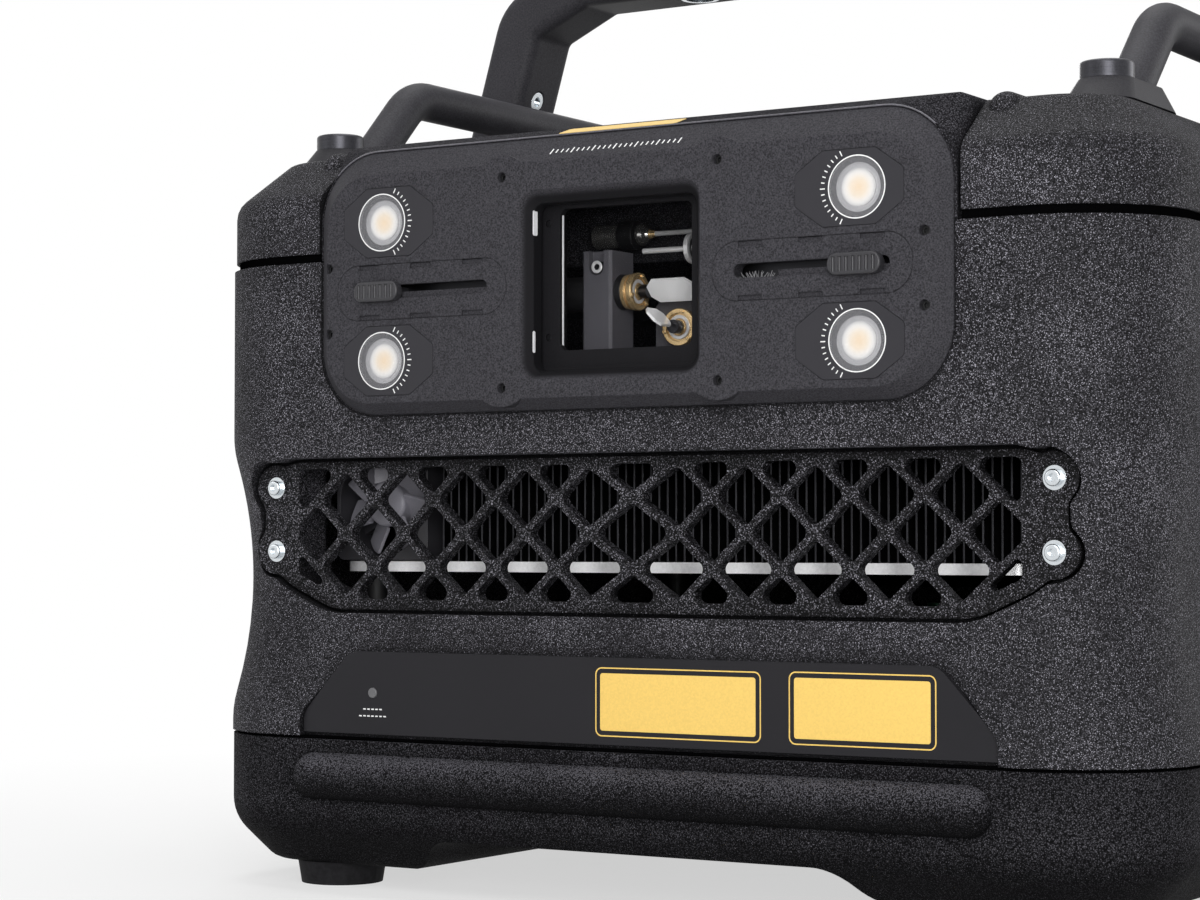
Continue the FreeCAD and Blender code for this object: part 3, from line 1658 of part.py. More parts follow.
def fan_rotor():
    """Cup hub with pitched blades and a shaft into the frame's bearing."""
    start = fan_depth - fan_backing - fan_hub_gap - fan_hub_length
    hub = rod(fan_hub_radius, V(0, start, 0), Y_AXIS, fan_hub_length)
    front_rim = [e for e in hub.Edges if abs(e.CenterOfMass.y - start) < 1e-6]
    hub = hub.makeFillet(1.5, front_rim)
    shaft = rod(fan_shaft_radius, V(0, start + 1, 0), Y_AXIS, fan_hub_length + fan_backing)
    middle = start + fan_hub_length / 2
    sweep = rod(fan_bore - fan_tip_gap, V(0, start, 0), Y_AXIS, fan_hub_length)
    chord = fan_hub_length / math.sin(math.radians(fan_blade_pitch)) * 0.92
    blades = []
    for index in range(fan_blades):
        blade = block(-chord / 2, chord / 2, -fan_blade_thickness / 2, fan_blade_thickness / 2,
                      fan_hub_radius - 1, fan_bore)
        blade = moved(turned(blade, fan_blade_pitch), 0, middle, 0)
        blades.append(turned(blade, 360 / fan_blades * index, Y_AXIS).common(sweep))
    return joined([hub, shaft] + blades)


def fan_frames():
    return group([place_fan(fan_frame(), place) for place in fan_places()])


def indicator_panel():
    y = front + panel_recess
    light = housing_bottom + emission_level
    hole = rod(emission_radius + emission_fit, V(emission_x, y, light), Y_AXIS, panel_thickness)
    sill = block(-half_width, half_width, y, y + panel_thickness, housing_bottom, housing_bottom + panel_lift)
    return panel_prism(0, y, y + panel_thickness).cut([hole, sill])


def emission_led():
    y = front + panel_recess - emission_proud
    light = housing_bottom + emission_level
    lamp = rod(emission_radius, V(emission_x, y, light), Y_AXIS, emission_length)
    dome = [e for e in lamp.Edges if abs(e.CenterOfMass.y - y) < 1e-6]
    return lamp.makeFillet(emission_proud, dome)


def leg_foot():
    """Place along Y where the front legs' axes enter the tops of their feet, leaning 45 degrees."""
    return -handle_half_length - handle_rise + handle_plinth_height


def plinth_start():
    """Front end of the front handle feet along Y."""
    return leg_foot() - handle_tube_from_end - cap_from_end


def cap_places():
    y = plinth_start() + cap_from_end
    return [(x, s * y) for x in (-handle_x, handle_x) for s in (-1, 1)]


def stadium(length, width, z, y0):
    """Long round-ended outline lying flat, starting at y0 along Y."""
    r = width / 2
    near = y0 + r
    far = y0 + length - r
    edges = [
        Part.makeLine(V(r, near, z), V(r, far, z)),
        Part.Arc(V(r, far, z), V(0, far + r, z), V(-r, far, z)).toShape(),
        Part.makeLine(V(-r, far, z), V(-r, near, z)),
        Part.Arc(V(-r, near, z), V(0, near - r, z), V(r, near, z)).toShape(),
    ]
    return Part.Wire(edges)


def leg_prism(radius, floor):
    """Front leg of a handle as a leaning cylinder that ends level at the given height."""
    reach = 2 * handle_rise
    slope = V(0, 1, 1)
    start = V(0, -handle_half_length - reach, handle_level - reach)
    leg = rod(radius, start, slope, (reach + handle_bend) * math.sqrt(2))
    half = 2 * radius
    return leg.common(block(-half, half, start.y - half, 0, floor, handle_level + reach))


def handle_feet():
    """Tapered feet under each handle end, bored for the leaning tube and the bolt."""
    y0 = plinth_start()
    end = handle_plinth_end_taper
    top = lid_top + handle_plinth_height
    lower = stadium(handle_plinth_length, handle_plinth_width, lid_top, y0)
    upper = stadium(handle_plinth_length - 2 * end, handle_plinth_width - 2 * handle_plinth_side_taper,
                    top, y0 + end)
    foot = Part.makeLoft([lower, upper], True, True)
    socket = leg_prism(handle_tube_radius + handle_socket_fit, top - handle_socket_depth)
    bolt = rod(cap_socket_radius, V(0, y0 + cap_from_end, lid_top), Z_AXIS, handle_plinth_height)
    foot = foot.cut([socket, bolt])
    pair = [moved(foot, handle_x, 0, 0), moved(foot, -handle_x, 0, 0)]
    return group(pair + [mirrored_y(shape) for shape in pair])


def handle():
    """Bent tube: leaning leg, bend, long grip, bend, leaning leg."""
    knee = handle_half_length
    level = handle_level
    run = handle_bend * math.tan(math.pi / 8)
    drop = run * math.sqrt(0.5)
    nip = handle_bend * (1 / math.cos(math.pi / 8) - 1)
    low = lid_top + handle_plinth_height - handle_socket_depth + handle_socket_fit
    reach = handle_rise
    top = V(0, -knee + nip * math.sin(math.pi / 8), level - nip * math.cos(math.pi / 8))
    leg_end = V(0, -knee - reach, level - reach)
    bend_start = V(0, -knee - drop, level - drop)
    bend_end = V(0, -knee + run, level)
    half = [
        Part.makeLine(leg_end, bend_start),
        Part.Arc(bend_start, top, bend_end).toShape(),
        Part.makeLine(bend_end, V(0, 0, level)),
    ]
    circle = Part.Wire(Part.Circle(leg_end, V(0, 1, 1), handle_tube_radius).toShape())
    bar = Part.Wire(half).makePipeShell([circle], True, False)
    wide = 2 * handle_tube_radius
    bar = bar.cut(block(-wide, wide, 2 * leg_end.y, 0, level - 2 * reach, low))
    return joined([bar, mirrored_y(bar)])


def handle_caps():
    """Turned bolt heads with a rounded edge, a socket and a shank through the foot."""
    caps = []
    top = lid_top + handle_plinth_height
    for x, y in cap_places():
        head = rod(cap_radius, V(x, y, top), Z_AXIS, cap_height)
        rim = [e for e in head.Edges if abs(e.CenterOfMass.z - top - cap_height) < 1e-6]
        head = head.makeFillet(cap_round, rim)
        socket = rod(cap_socket_radius, V(x, y, top + cap_height - cap_socket_depth), Z_AXIS, cap_socket_depth)
        drop = handle_plinth_height + 2 * wall
        shank = rod(cap_socket_radius - shank_fit, V(x, y, top - drop), Z_AXIS, drop)
        caps.append(joined([head, shank]).cut(socket))
    return group(caps)


def yoke_line():
    """Inner face of the yoke from one pivot round to the other, as (x, z) points."""
    side = [
        (side_face, pivot_level),
        (side_face, yoke_shoulder),
        (side_face - yoke_lean, yoke_bend_low),
        (side_face - yoke_bend_in, yoke_underside),
    ]
    return side + [(-x, z) for x, z in reversed(side)]


def edges_through(shape, points):
    """Edges along Y that pass through the given (x, z) points."""
    found = []
    for edge in shape.Edges:
        place = edge.CenterOfMass
        for x, z in points:
            if abs(place.x - x) < 0.01 and abs(place.z - z) < 0.01 and edge.BoundBox.XLength < 0.01:
                found.append(edge)
    return found


def yoke_bar():
    """Bent bar with round lower ends and every long edge rounded."""
    inner = yoke_line()
    outer = offset_line(inner, -yoke_thickness)
    half = yoke_width / 2
    bar = straight_prism(inner + list(reversed(outer)), -half, half)
    bar = bar.makeFillet(yoke_bend_round, edges_through(bar, inner[1:-1]))
    bar = bar.makeFillet(yoke_bend_round + yoke_thickness, edges_through(bar, outer[1:-1]))
    end = rod(half, V(side_face, 0, pivot_level), X_AXIS, yoke_thickness)
    bar = joined([bar, end, mirrored_x(end)])
    rims = []
    for edge in bar.Edges:
        box = edge.BoundBox
        across = box.YLength > yoke_width - 0.01 and box.ZLength < 0.01
        seam = abs(box.ZMin - pivot_level) < 0.01 and box.ZLength < 0.01
        if not across and not seam:
            rims.append(edge)
    return bar.makeFillet(yoke_edge_round, rims)


def yoke():
    """Rounded bar over the case with holes for the pivots, the clamp bushes and one screw in each arm."""
    holes = [rod(bush_radius + bush_fit, V(side_face - 1, 0, pivot_level), X_AXIS, yoke_thickness + 2)]
    for x in (-clamp_hole_x, clamp_hole_x):
        radius = clamp_bush_radius + clamp_bush_fit
        holes.append(rod(radius, V(x, 0, yoke_underside - 1), Z_AXIS, yoke_thickness + 2))
    face, normal = yoke_screw_place()
    inward = normal * -1
    holes.append(rod(yoke_screw_radius + yoke_screw_room, face, inward, yoke_screw_head + yoke_screw_sunk))
    holes.append(rod(yoke_screw_shank + clamp_bush_fit, face, inward, yoke_screw_length + yoke_screw_head))
    holes += [mirrored_x(hole) for hole in (holes[0], holes[-2], holes[-1])]
    return yoke_bar().cut(holes)


def yoke_screw_place():
    """Point on the leaning inner face and the direction that faces the case."""
    low = V(side_face, 0, yoke_shoulder)
    high = V(side_face - yoke_lean, 0, yoke_bend_low)
    share = (yoke_screw_level - low.z) / (high.z - low.z)
    base = low + (high - low) * share + V(0, yoke_screw_y, 0)
    normal = V(-(high.z - low.z), 0, high.x - low.x)
    normal.normalize()
    return base, normal


def yoke_screws():
    """Socket screws sunk in the inner faces of the yoke's arms."""
    face, normal = yoke_screw_place()
    inward = normal * -1
    top = face + inward * yoke_screw_sunk
    head = rod(yoke_screw_radius, top, inward, yoke_screw_head)
    socket = rod(yoke_screw_radius / 2, top, inward, yoke_screw_head / 2)
    shank = rod(yoke_screw_shank, top + inward * yoke_screw_head, inward, yoke_screw_length - yoke_screw_head)
    screw = joined([head, shank]).cut(socket)
    return group([screw, mirrored_x(screw)])


def clamp_bushes():
    """Steel rings lining the clamp holes, a little proud under the beam."""
    rings = []
    for x in (-clamp_hole_x, clamp_hole_x):
        start = V(x, 0, yoke_underside - clamp_bush_proud)
        rings.append(tube(clamp_bush_radius, clamp_hole_radius, start, Z_AXIS, yoke_thickness + clamp_bush_proud))
    return group(rings)


def pivot_bushes():
    """Bushes through the case bosses that carry the yoke's arms."""
    start = V(side_face - boss_gap - boss_depth, 0, pivot_level)
    length = boss_depth + boss_gap + yoke_thickness - boss_gap
    bush = tube(bush_radius, stud_radius + stud_fit, start, X_AXIS, length)
    return group([bush, mirrored_x(bush)])


def yoke_knob():
    """Lobed clamping knob with a neck against the yoke and a stud in the bush."""
    face = side_face + yoke_thickness + knob_gap
    neck = rod(knob_neck_radius, V(face, 0, pivot_level), X_AXIS, knob_neck)
    grip = rod(knob_radius - knob_lobe_radius, V(face + knob_neck, 0, pivot_level), X_AXIS, knob_thickness)
    lobes = []
    for index in range(knob_lobes):
        angle = 2 * math.pi * index / knob_lobes
        reach = knob_radius - knob_lobe_radius
        place = V(face + knob_neck, reach * math.cos(angle), pivot_level + reach * math.sin(angle))
        lobes.append(rod(knob_lobe_radius, place, X_AXIS, knob_thickness))
    stud_length = yoke_thickness + knob_gap + stud_reach
    stud = rod(stud_radius, V(face - stud_length, 0, pivot_level), X_AXIS, stud_length)
    grip = joined([grip] + lobes)
    end = face + knob_neck + knob_thickness
    rim = [e for e in grip.Edges if abs(e.BoundBox.XMin - end) < 1e-6]
    grip = grip.makeFillet(1.5, rim)
    return joined([neck, grip, stud])


def rear_panel_y():
    return half_depth + housing_proud - wall


def connector_row():
    """Middle of each connector along the rear opening, with even gaps between their flanges."""
    round_sockets = ["power_in", "power_out", "network", "dmx_in", "dmx_out"]
    widths = {name: socket_flange_width for name in round_sockets}
    widths["ilda"] = ilda_width
    widths["key"] = 2 * key_bezel_radius
    gap = (2 * rear_opening_half_width - sum(widths.values())) / (len(widths) + 1)
    x = -rear_opening_half_width
    row = {}
    for name, width in widths.items():
        row[name] = x + gap + width / 2
        x += gap + width
    return row


def round_socket_xs():
    row = connector_row()
    return [row[name] for name in ("power_in", "power_out", "network", "dmx_in", "dmx_out")]


def ilda_levels():
    return (rear_row - ilda_row_rise, rear_row + ilda_row_rise)


def rear_panel():
    """Sheet behind the housing's rear opening, punched for the sockets."""
    y = rear_panel_y()
    wide = rear_panel_half_width
    points = rectangle(-wide, wide, rear_panel_low, rear_panel_high)
    sheet = rounded_prism(points, rear_panel_round, y - rear_panel_thickness, y)
    row = connector_row()
    ilda_x = row["ilda"]
    cuts = []
    for x in round_socket_xs():
        hole = socket_body_radius + socket_hole_fit
        cuts.append(rod(hole, V(x, y - rear_panel_thickness - 1, rear_row), Y_AXIS, rear_panel_thickness + 2))
    for z in ilda_levels():
        wide = ilda_body_half + socket_hole_fit
        tall = ilda_body_half_height + socket_hole_fit
        cuts.append(block(ilda_x - wide, ilda_x + wide, y - rear_panel_thickness - 1, y + 1, z - tall, z + tall))
    barrel = key_barrel_radius + socket_hole_fit
    cuts.append(rod(barrel, V(row["key"], y - rear_panel_thickness - 1, rear_row), Y_AXIS, rear_panel_thickness + 2))
    return sheet.cut(cuts)


def chassis_socket(x):
    """Common shell of the round chassis sockets: flange outside, barrel inside."""
    y = rear_panel_y()
    wide = socket_flange_width / 2
    tall = socket_flange_height / 2
    points = rectangle(x - wide, x + wide, rear_row - tall, rear_row + tall)
    flange = rounded_prism(points, socket_flange_round, y, y + socket_flange_thickness)
    barrel = rod(socket_body_radius, V(x, y - socket_body_length, rear_row), Y_AXIS, socket_body_length)
    return joined([flange, barrel])


def power_sockets():
    """Round power sockets: a moat round the contact core, crossed by a coding key."""
    sockets = []
    row = connector_row()
    face = rear_panel_y() + socket_flange_thickness
    start = face - power_bore_depth
    for x in (row["power_in"], row["power_out"]):
        moat = tube(socket_bore_radius, power_core_radius, V(x, start, rear_row), Y_AXIS, power_bore_depth + 1)
        half = power_key_width / 2
        key = block(x - half, x + half, start, face, rear_row, rear_row + socket_bore_radius + 1)
        sockets.append(chassis_socket(x).cut(moat.cut(key)))
    return group(sockets)


def dmx_sockets():
    """Three-pole signal sockets with a shallow dish and pin holes."""
    sockets = []
    row = connector_row()
    face = rear_panel_y() + socket_flange_thickness
    for x in (row["dmx_in"], row["dmx_out"]):
        cuts = [rod(socket_bore_radius, V(x, face - dmx_dish_depth, rear_row), Y_AXIS, dmx_dish_depth + 1)]
        for angle in (90, 210, 330):
            a = math.radians(angle)
            place = V(x + dmx_pin_circle * math.cos(a), face - dmx_pin_depth, rear_row - dmx_pin_circle * math.sin(a))
            cuts.append(rod(dmx_pin_radius, place, Y_AXIS, dmx_pin_depth))
        sockets.append(chassis_socket(x).cut(cuts))
    return group(sockets)


def network_socket():
    """Round chassis socket with a square port and the recess for the plug's latch."""
    x = connector_row()["network"]
    face = rear_panel_y() + socket_flange_thickness
    start = face - network_port_depth
    half = network_port_width / 2
    low = rear_row - network_port_drop - network_port_height / 2
    high = low + network_port_height
    port = block(x - half, x + half, start, face + 1, low, high)
    half = network_latch_width / 2
    latch = block(x - half, x + half, start, face + 1, high - 1, high + network_latch_height)
    return chassis_socket(x).cut(joined([port, latch]))


def ilda_ports():
    """D-shaped signal ports, one above the other."""
    y = rear_panel_y()
    ilda_x = connector_row()["ilda"]
    ports = []
    for z in ilda_levels():
        wide = ilda_width / 2
        tall = ilda_height / 2
        points = rectangle(ilda_x - wide, ilda_x + wide, z - tall, z + tall)
        flange = rounded_prism(points, ilda_flange_round, y, y + ilda_flange)
        half = ilda_shell_half
        slant = ilda_shell_slant
        high = ilda_shell_half_height
        shell_points = [(ilda_x - half + slant, z - high), (ilda_x + half - slant, z - high),
                        (ilda_x + half, z + high), (ilda_x - half, z + high)]
        shell = rounded_prism(shell_points, ilda_shell_round, y, y + ilda_shell_length)
        body = block(ilda_x - ilda_body_half, ilda_x + ilda_body_half, y - ilda_body_length, y,
                     z - ilda_body_half_height, z + ilda_body_half_height)
        ports.append(joined([flange, shell, body]))
    return group(ports)


def key_switch():
    y = rear_panel_y()
    key_x = connector_row()["key"]
    bezel = rod(key_bezel_radius, V(key_x, y, rear_row), Y_AXIS, key_bezel_height)
    rim = [e for e in bezel.Edges if abs(e.CenterOfMass.y - y - key_bezel_height) < 1e-6]
    bezel = bezel.makeFillet(1.0, rim)
    barrel = rod(key_barrel_radius, V(key_x, y - key_length, rear_row), Y_AXIS, key_length)
    bore_start = V(key_x, y - key_length + wall, rear_row)
    bore = rod(key_plug_radius + key_plug_fit, bore_start, Y_AXIS, key_length + key_bezel_height)
    return joined([bezel, barrel]).cut(bore)


def key_plug():
    """Turning core of the key switch with its key slot."""
    y = rear_panel_y()
    key_x = connector_row()["key"]
    start = V(key_x, y - key_length + wall + floor_gap, rear_row)
    length = key_length - wall - floor_gap + key_bezel_height - floor_gap
    core = rod(key_plug_radius, start, Y_AXIS, length)
    face = start.y + length
    slot = block(key_x - key_slot_width / 2, key_x + key_slot_width / 2, face - key_slot_depth, face + 1,
                 rear_row - key_slot_length / 2, rear_row + key_slot_length / 2)
    return core.cut(slot)


def power_supply():
    """Vented supply box on the raised floor of the tray."""
    y = front + supply_front
    wide = supply_half_width
    top = tray_floor + supply_height
    box = block(-wide, wide, y, y + supply_length, tray_floor, top)
    pitch = supply_length / (supply_vent_count + 1)
    slots = []
    for index in range(supply_vent_count):
        vent = y + (index + 1) * pitch
        slots.append(block(-wide * 0.7, wide * 0.7, vent, vent + supply_vent_width, top - wall, top + 1))
    return box.cut(slots)


def control_board():
    """Board on standoffs above the power supply, with its larger components."""
    top = tray_floor + supply_height
    y0 = front + supply_front + board_margin
    y1 = y0 + supply_length - 2 * board_margin
    wide = supply_half_width - board_margin
    level = top + board_standoff
    board = block(-wide, wide, y0, y1, level, level + board_thickness)
    parts = [board]
    for x in (-wide + board_margin, wide - board_margin):
        for y in (y0 + board_margin, y1 - board_margin):
            parts.append(rod(board_standoff_radius, V(x, y, top), Z_AXIS, board_standoff))
    upper = level + board_thickness
    parts.append(block(-wide / 2, 0, y0 + 30, y0 + 30 + wide / 2, upper, upper + 2))
    parts.append(block(wide / 3, wide - 4, y1 - 40, y1 - 6, upper, upper + 9))
    parts.append(rod(6.0, V(-wide / 2, y1 - 30, upper), Z_AXIS, 12))
    return joined(parts)


def build():
    """Every node of the projector by name."""
    output_rotor, output_mirror = galvo_rotor(output_outline(), 0)
    input_rotor, input_mirror = galvo_rotor(input_outline(), input_mirror_offset)
    button = slider_button()
    blade = mask_blade()
    tube_handle = handle()
    knob = yoke_knob()
    front_screws = grille_screws_at(grille_front)
    rotors = [place_fan(fan_rotor(), place) for place in fan_places()]
    return {
        "base_tray": base_tray(),
        "rubber_feet": rubber_feet(),
        "base_seal": seam_seal(base_top, housing_bottom),
        "main_housing": main_housing(),
        "lid_seal": lid_seal(),
        "top_lid": top_lid(),
        "aperture_hood": aperture_hood(),
        "face_plate": face_plate(),
        "face_plate_screws": face_plate_screws(),
        "strobe_bezels": strobe_bezels(),
        "strobe_lenses": strobe_lenses(),
        "strobe_leds": strobe_leds(),
        "slider_tracks": slider_tracks(),
        "slot_brushes": slot_brushes(),
        "slider_button_left": mirrored_x(button),
        "slider_button_right": button,
        "mask_blade_left": mirrored_x(blade),
        "mask_blade_right": blade,
        "window_frame": window_frame(),
        "optics_screws": group([window_frame_screws(), clamp_screw()]),
        "aperture_glass": aperture_glass(),
        "optical_bench": optical_bench(),
        "bench_posts": bench_posts(),
        "scanner_blocks": group([output_clamp(), input_block()]),
        "output_motor": place_output(galvo_motor()),
        "input_motor": place_input(galvo_motor()),
        "output_shaft": place_output(output_rotor),
        "output_mirror": place_output(output_mirror),
        "input_shaft": place_input(input_rotor),
        "input_mirror": place_input(input_mirror),
        "optics_mounts": group([steering_mount(), filter_mounts()]),
        "laser_modules": laser_modules(),
        "combining_filters": combining_filters(),
        "front_grille": grille_at(grille_front),
        "rear_grille": mirrored_y(grille_at(grille_front)),
        "case_screws": group([front_screws, mirrored_y(front_screws), foot_screws()]),
        "heatsink": heatsink(),
        "duct_plate": duct_plate(),
        "fan_frames": fan_frames(),
        "fan_rotor_front": rotors[0],
        "fan_rotor_rear_left": rotors[1],
        "fan_rotor_rear_right": rotors[2],
        "indicator_panel": indicator_panel(),
        "emission_led": emission_led(),
        "handle_feet": handle_feet(),
        "handle_left": moved(tube_handle, -handle_x, 0, 0),
        "handle_right": moved(tube_handle, handle_x, 0, 0),
        "handle_caps": handle_caps(),
        "yoke": yoke(),
        "yoke_fittings": group([yoke_screws(), clamp_bushes()]),
        "pivot_bushes": pivot_bushes(),
        "yoke_knob_left": mirrored_x(knob),
        "yoke_knob_right": knob,
        "rear_panel": rear_panel(),
        "rear_sockets": group([power_sockets(), dmx_sockets(), ilda_ports()]),
        "network_socket": network_socket(),
        "key_switch": key_switch(),
        "key_plug": key_plug(),
        "power_supply": power_supply(),
        "control_board": control_board(),
    }


def main():
    os.makedirs("parts", exist_ok=True)
    for name, shape in build().items():
        moved(shape, 0, center_shift, 0).exportStep("parts/" + name + ".step")


main()
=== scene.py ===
import math
import random

import bpy
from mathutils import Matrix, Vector


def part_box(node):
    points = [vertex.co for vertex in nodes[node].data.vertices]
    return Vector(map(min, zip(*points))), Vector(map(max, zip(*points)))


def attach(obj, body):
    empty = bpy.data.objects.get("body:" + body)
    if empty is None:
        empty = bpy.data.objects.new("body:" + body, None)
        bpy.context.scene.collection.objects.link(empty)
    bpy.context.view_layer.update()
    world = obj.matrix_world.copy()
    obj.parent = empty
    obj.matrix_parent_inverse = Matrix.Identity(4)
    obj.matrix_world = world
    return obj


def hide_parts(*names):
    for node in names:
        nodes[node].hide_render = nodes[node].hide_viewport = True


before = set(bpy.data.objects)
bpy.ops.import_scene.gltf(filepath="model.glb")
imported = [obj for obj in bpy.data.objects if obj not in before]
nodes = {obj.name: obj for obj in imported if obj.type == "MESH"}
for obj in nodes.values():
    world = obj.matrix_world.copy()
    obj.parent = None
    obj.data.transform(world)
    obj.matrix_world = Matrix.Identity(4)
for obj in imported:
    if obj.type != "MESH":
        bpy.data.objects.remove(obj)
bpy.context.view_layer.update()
MM = 0.001

# Camera of the photograph
camera_place = (0.5307, -1.08105, 0.13345)
camera_turn = (91.91, 0.0, 32.24)
camera_lens = 84.0
camera_sensor = 36.0

# Places read from the frame
lens_radius = 10.4 * MM
lens_low, lens_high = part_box("strobe_lenses")
plate_front = lens_low.y
strobe_x = lens_high.x - lens_radius
strobe_low = lens_low.z + lens_radius
strobe_high = lens_high.z - lens_radius
strobe_middle = (strobe_low + strobe_high) / 2
strobe_half_rise = (strobe_high - strobe_low) / 2
panel_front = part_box("indicator_panel")[0].y
emission_low, emission_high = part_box("emission_led")
emission_x = (emission_low.x + emission_high.x) / 2
plate_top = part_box("face_plate")[1].z
hood_low, hood_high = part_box("aperture_hood")
window_frame_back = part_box("window_frame")[1].y
track_low, track_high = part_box("slider_tracks")
track_level = (track_low.z + track_high.z) / 2
input_low, input_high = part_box("input_motor")
output_low, output_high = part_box("output_motor")

# Thickness of printed ink and of the plates' film
print_lift = 0.06 * MM
plate_film = 0.15 * MM

# Face plate, panel and hood, in millimetres; a span is (left, right, bottom, top) on its plane
led_board_radius = 10.0
collar_half_width = 46.0
collar_level = 229.0
collar_half_height = 36.0
collar_start, collar_end = 0.4, 3.0
bevel_run, bevel_rise = 7.2, 9.5
hood_run, hood_rise = 14.0, 4.5
hood_corner = 27.0
panel_plate_spans = ((-10.0, 58.0, 64.1, 88.9), (69.0, 125.0, 64.1, 89.3))
hood_plate_span = (-27, 23, 2.5, 11.5)

# Scanner and window, in millimetres; a painted highlight's span on the collar wall is (front, back, bottom,
# top)
steering_place = (-40.0, -165.25, 252.0)
guide_place = (-17.0, -181.85, 243.5)
post_screw_place = (-27.5, -198.25, 236.8)
window_side = -27.96
collar_side = -34.48
window_edge_levels = (206, 254)
highlight_spans = ((-231.0, -228.2, 246.0, 255.2), (-231.0, -229.6, 203.0, 211.0))


class Graph:
    """One procedural material and the nodes that feed its shader."""

    def __init__(self, name, color, roughness, metallic=0.0, specular=0.5):
        self.material = bpy.data.materials.new(name)
        self.material.use_nodes = True
        self.nodes = self.material.node_tree.nodes
        self.links = self.material.node_tree.links
        self.shader = self.nodes["Principled BSDF"]
        self.set("Base Color", (*color, 1.0))
        self.set("Roughness", roughness)
        self.set("Metallic", metallic)
        self.set("Specular IOR Level", specular)
        self.place = None

    def set(self, socket, value):
        """Give a shader socket a fixed value."""
        self.shader.inputs[socket].default_value = value

    def node(self, kind, inputs=(), **settings):
        """New node whose inputs are links or fixed values."""
        made = self.nodes.new("ShaderNode" + kind)
        for name, value in settings.items():
            setattr(made, name, value)
        for socket, value in dict(inputs).items():
            if isinstance(value, bpy.types.NodeSocket):
                self.links.new(value, made.inputs[socket])
            else:
                made.inputs[socket].default_value = value
        return made

    def feed(self, source, socket):
        """Link a node's output to a shader socket."""
        self.links.new(source, self.shader.inputs[socket])

    def millimetres(self):
        """Place on the object in millimetres, so that pattern scales are per millimetre."""
        if self.place is None:
            place = self.node("TexCoord").outputs["Object"]
            scaled = self.node("VectorMath", {0: place, "Scale": 1000.0}, operation="SCALE")
            self.place = scaled.outputs[0]
        return self.place

    def stretched(self, x, y, z):
        """Place in millimetres with each axis scaled, for grain that runs one way."""
        return self.node("VectorMath", {0: self.millimetres(), 1: (x, y, z)}, operation="MULTIPLY").outputs[0]

    def noise(self, scale, detail=2.0, roughness=0.5, place=None):
        """Cloudy pattern from nought to one."""
        place = place or self.millimetres()
        inputs = {"Vector": place, "Scale": scale, "Detail": detail, "Roughness": roughness}
        return self.node("TexNoise", inputs).outputs["Fac"]

    def cells(self, scale, smooth=0.3):
        """Distance to the middle of the nearest granule or pore."""
        inputs = {"Vector": self.millimetres(), "Scale": scale, "Smoothness": smooth}
        return self.node("TexVoronoi", inputs, feature="SMOOTH_F1").outputs["Distance"]

    def math(self, operation, a, b=0.0, c=0.0):
        """Sum or other operation on up to three values."""
        return self.node("Math", {0: a, 1: b, 2: c}, operation=operation).outputs[0]

    def ramp(self, value, stops):
        """Colour that changes with a value through (position, colour) stops."""
        made = self.node("ValToRGB", {"Fac": value})
        made.color_ramp.elements[0].position = stops[0][0]
        made.color_ramp.elements[0].color = (*stops[0][1], 1.0)
        made.color_ramp.elements[1].position = stops[-1][0]
        made.color_ramp.elements[1].color = (*stops[-1][1], 1.0)
        for position, color in stops[1:-1]:
            made.color_ramp.elements.new(position).color = (*color, 1.0)
        return made.outputs["Color"]

    def bump(self, height, depth, strength=1.0, below=None):
        """Fine relief on top of the normal below it."""
        inputs = {"Height": height, "Distance": depth, "Strength": strength}
        if below is not None:
            inputs["Normal"] = below
        return self.node("Bump", inputs).outputs["Normal"]

    def soft_edge(self, radius):
        """Normal that rounds sharp edges."""
        return self.node("Bevel", {"Radius": radius}, samples=4).outputs["Normal"]


def grey(level):
    """Neutral black paint with a slight violet-blue cast."""
    cast = (1.01, 0.985, 1.12)
    return tuple(level * share for share in cast)


def grain_coat(name, tones, scale, depth, roughness, specular, edge, crest=0.0):
    """Sprayed coat of small hard granules: dark between them and pale on their tops, a painted highlight,
    with a few bright painted glints.

    Painted shade darkens the coat in corners and seams. A crest above nought paints light where the coat
    faces up, and one below nought paints shade there.
    """
    painted_shade_reach = 7 * MM
    low, middle, high, painted_glint = tones
    g = Graph(name, grey(middle), roughness, specular=specular)
    granules = g.cells(scale)
    fine = g.noise(scale * 1.9, detail=3.0, roughness=0.65)
    height = g.math("MULTIPLY_ADD", granules, -0.9, fine)
    # Granule height sets the tone: the paler tops are a painted highlight.
    spread = g.math("MULTIPLY_ADD", height, 1.6, 0.36)
    # Sparse bright specks: painted glints.
    speck = g.math("MAXIMUM", g.math("SUBTRACT", g.noise(scale * 0.8), 0.58), 0.0)
    drift = g.math("MULTIPLY_ADD", g.noise(0.03), 0.3, -0.15)
    tone = g.math("ADD", drift, g.math("MULTIPLY_ADD", speck, 2.5, spread))
    # Painted shade in corners and seams, from ambient occlusion.
    painted_shade = g.node("AmbientOcclusion", {"Distance": painted_shade_reach}, samples=4).outputs["AO"]
    tone = g.math("ADD", tone, g.math("MULTIPLY_ADD", painted_shade, 0.6, -0.6))
    # Painted light on upward faces when crest is above nought, painted shade there when it is below.
    if crest:
        facing = g.node("SeparateXYZ", {0: g.node("NewGeometry").outputs["Normal"]}).outputs[2]
        tone = g.math("MULTIPLY_ADD", facing, crest, tone)
    stops = [(0.10, grey(low)), (0.50, grey(middle)), (0.86, grey(high)), (1.0, grey(painted_glint))]
    g.feed(g.ramp(tone, stops), "Base Color")
    g.feed(g.math("MULTIPLY_ADD", spread, -0.2, roughness + 0.1), "Roughness")
    g.feed(g.bump(height, depth, 1.0, g.soft_edge(edge)), "Normal")
    return g.material


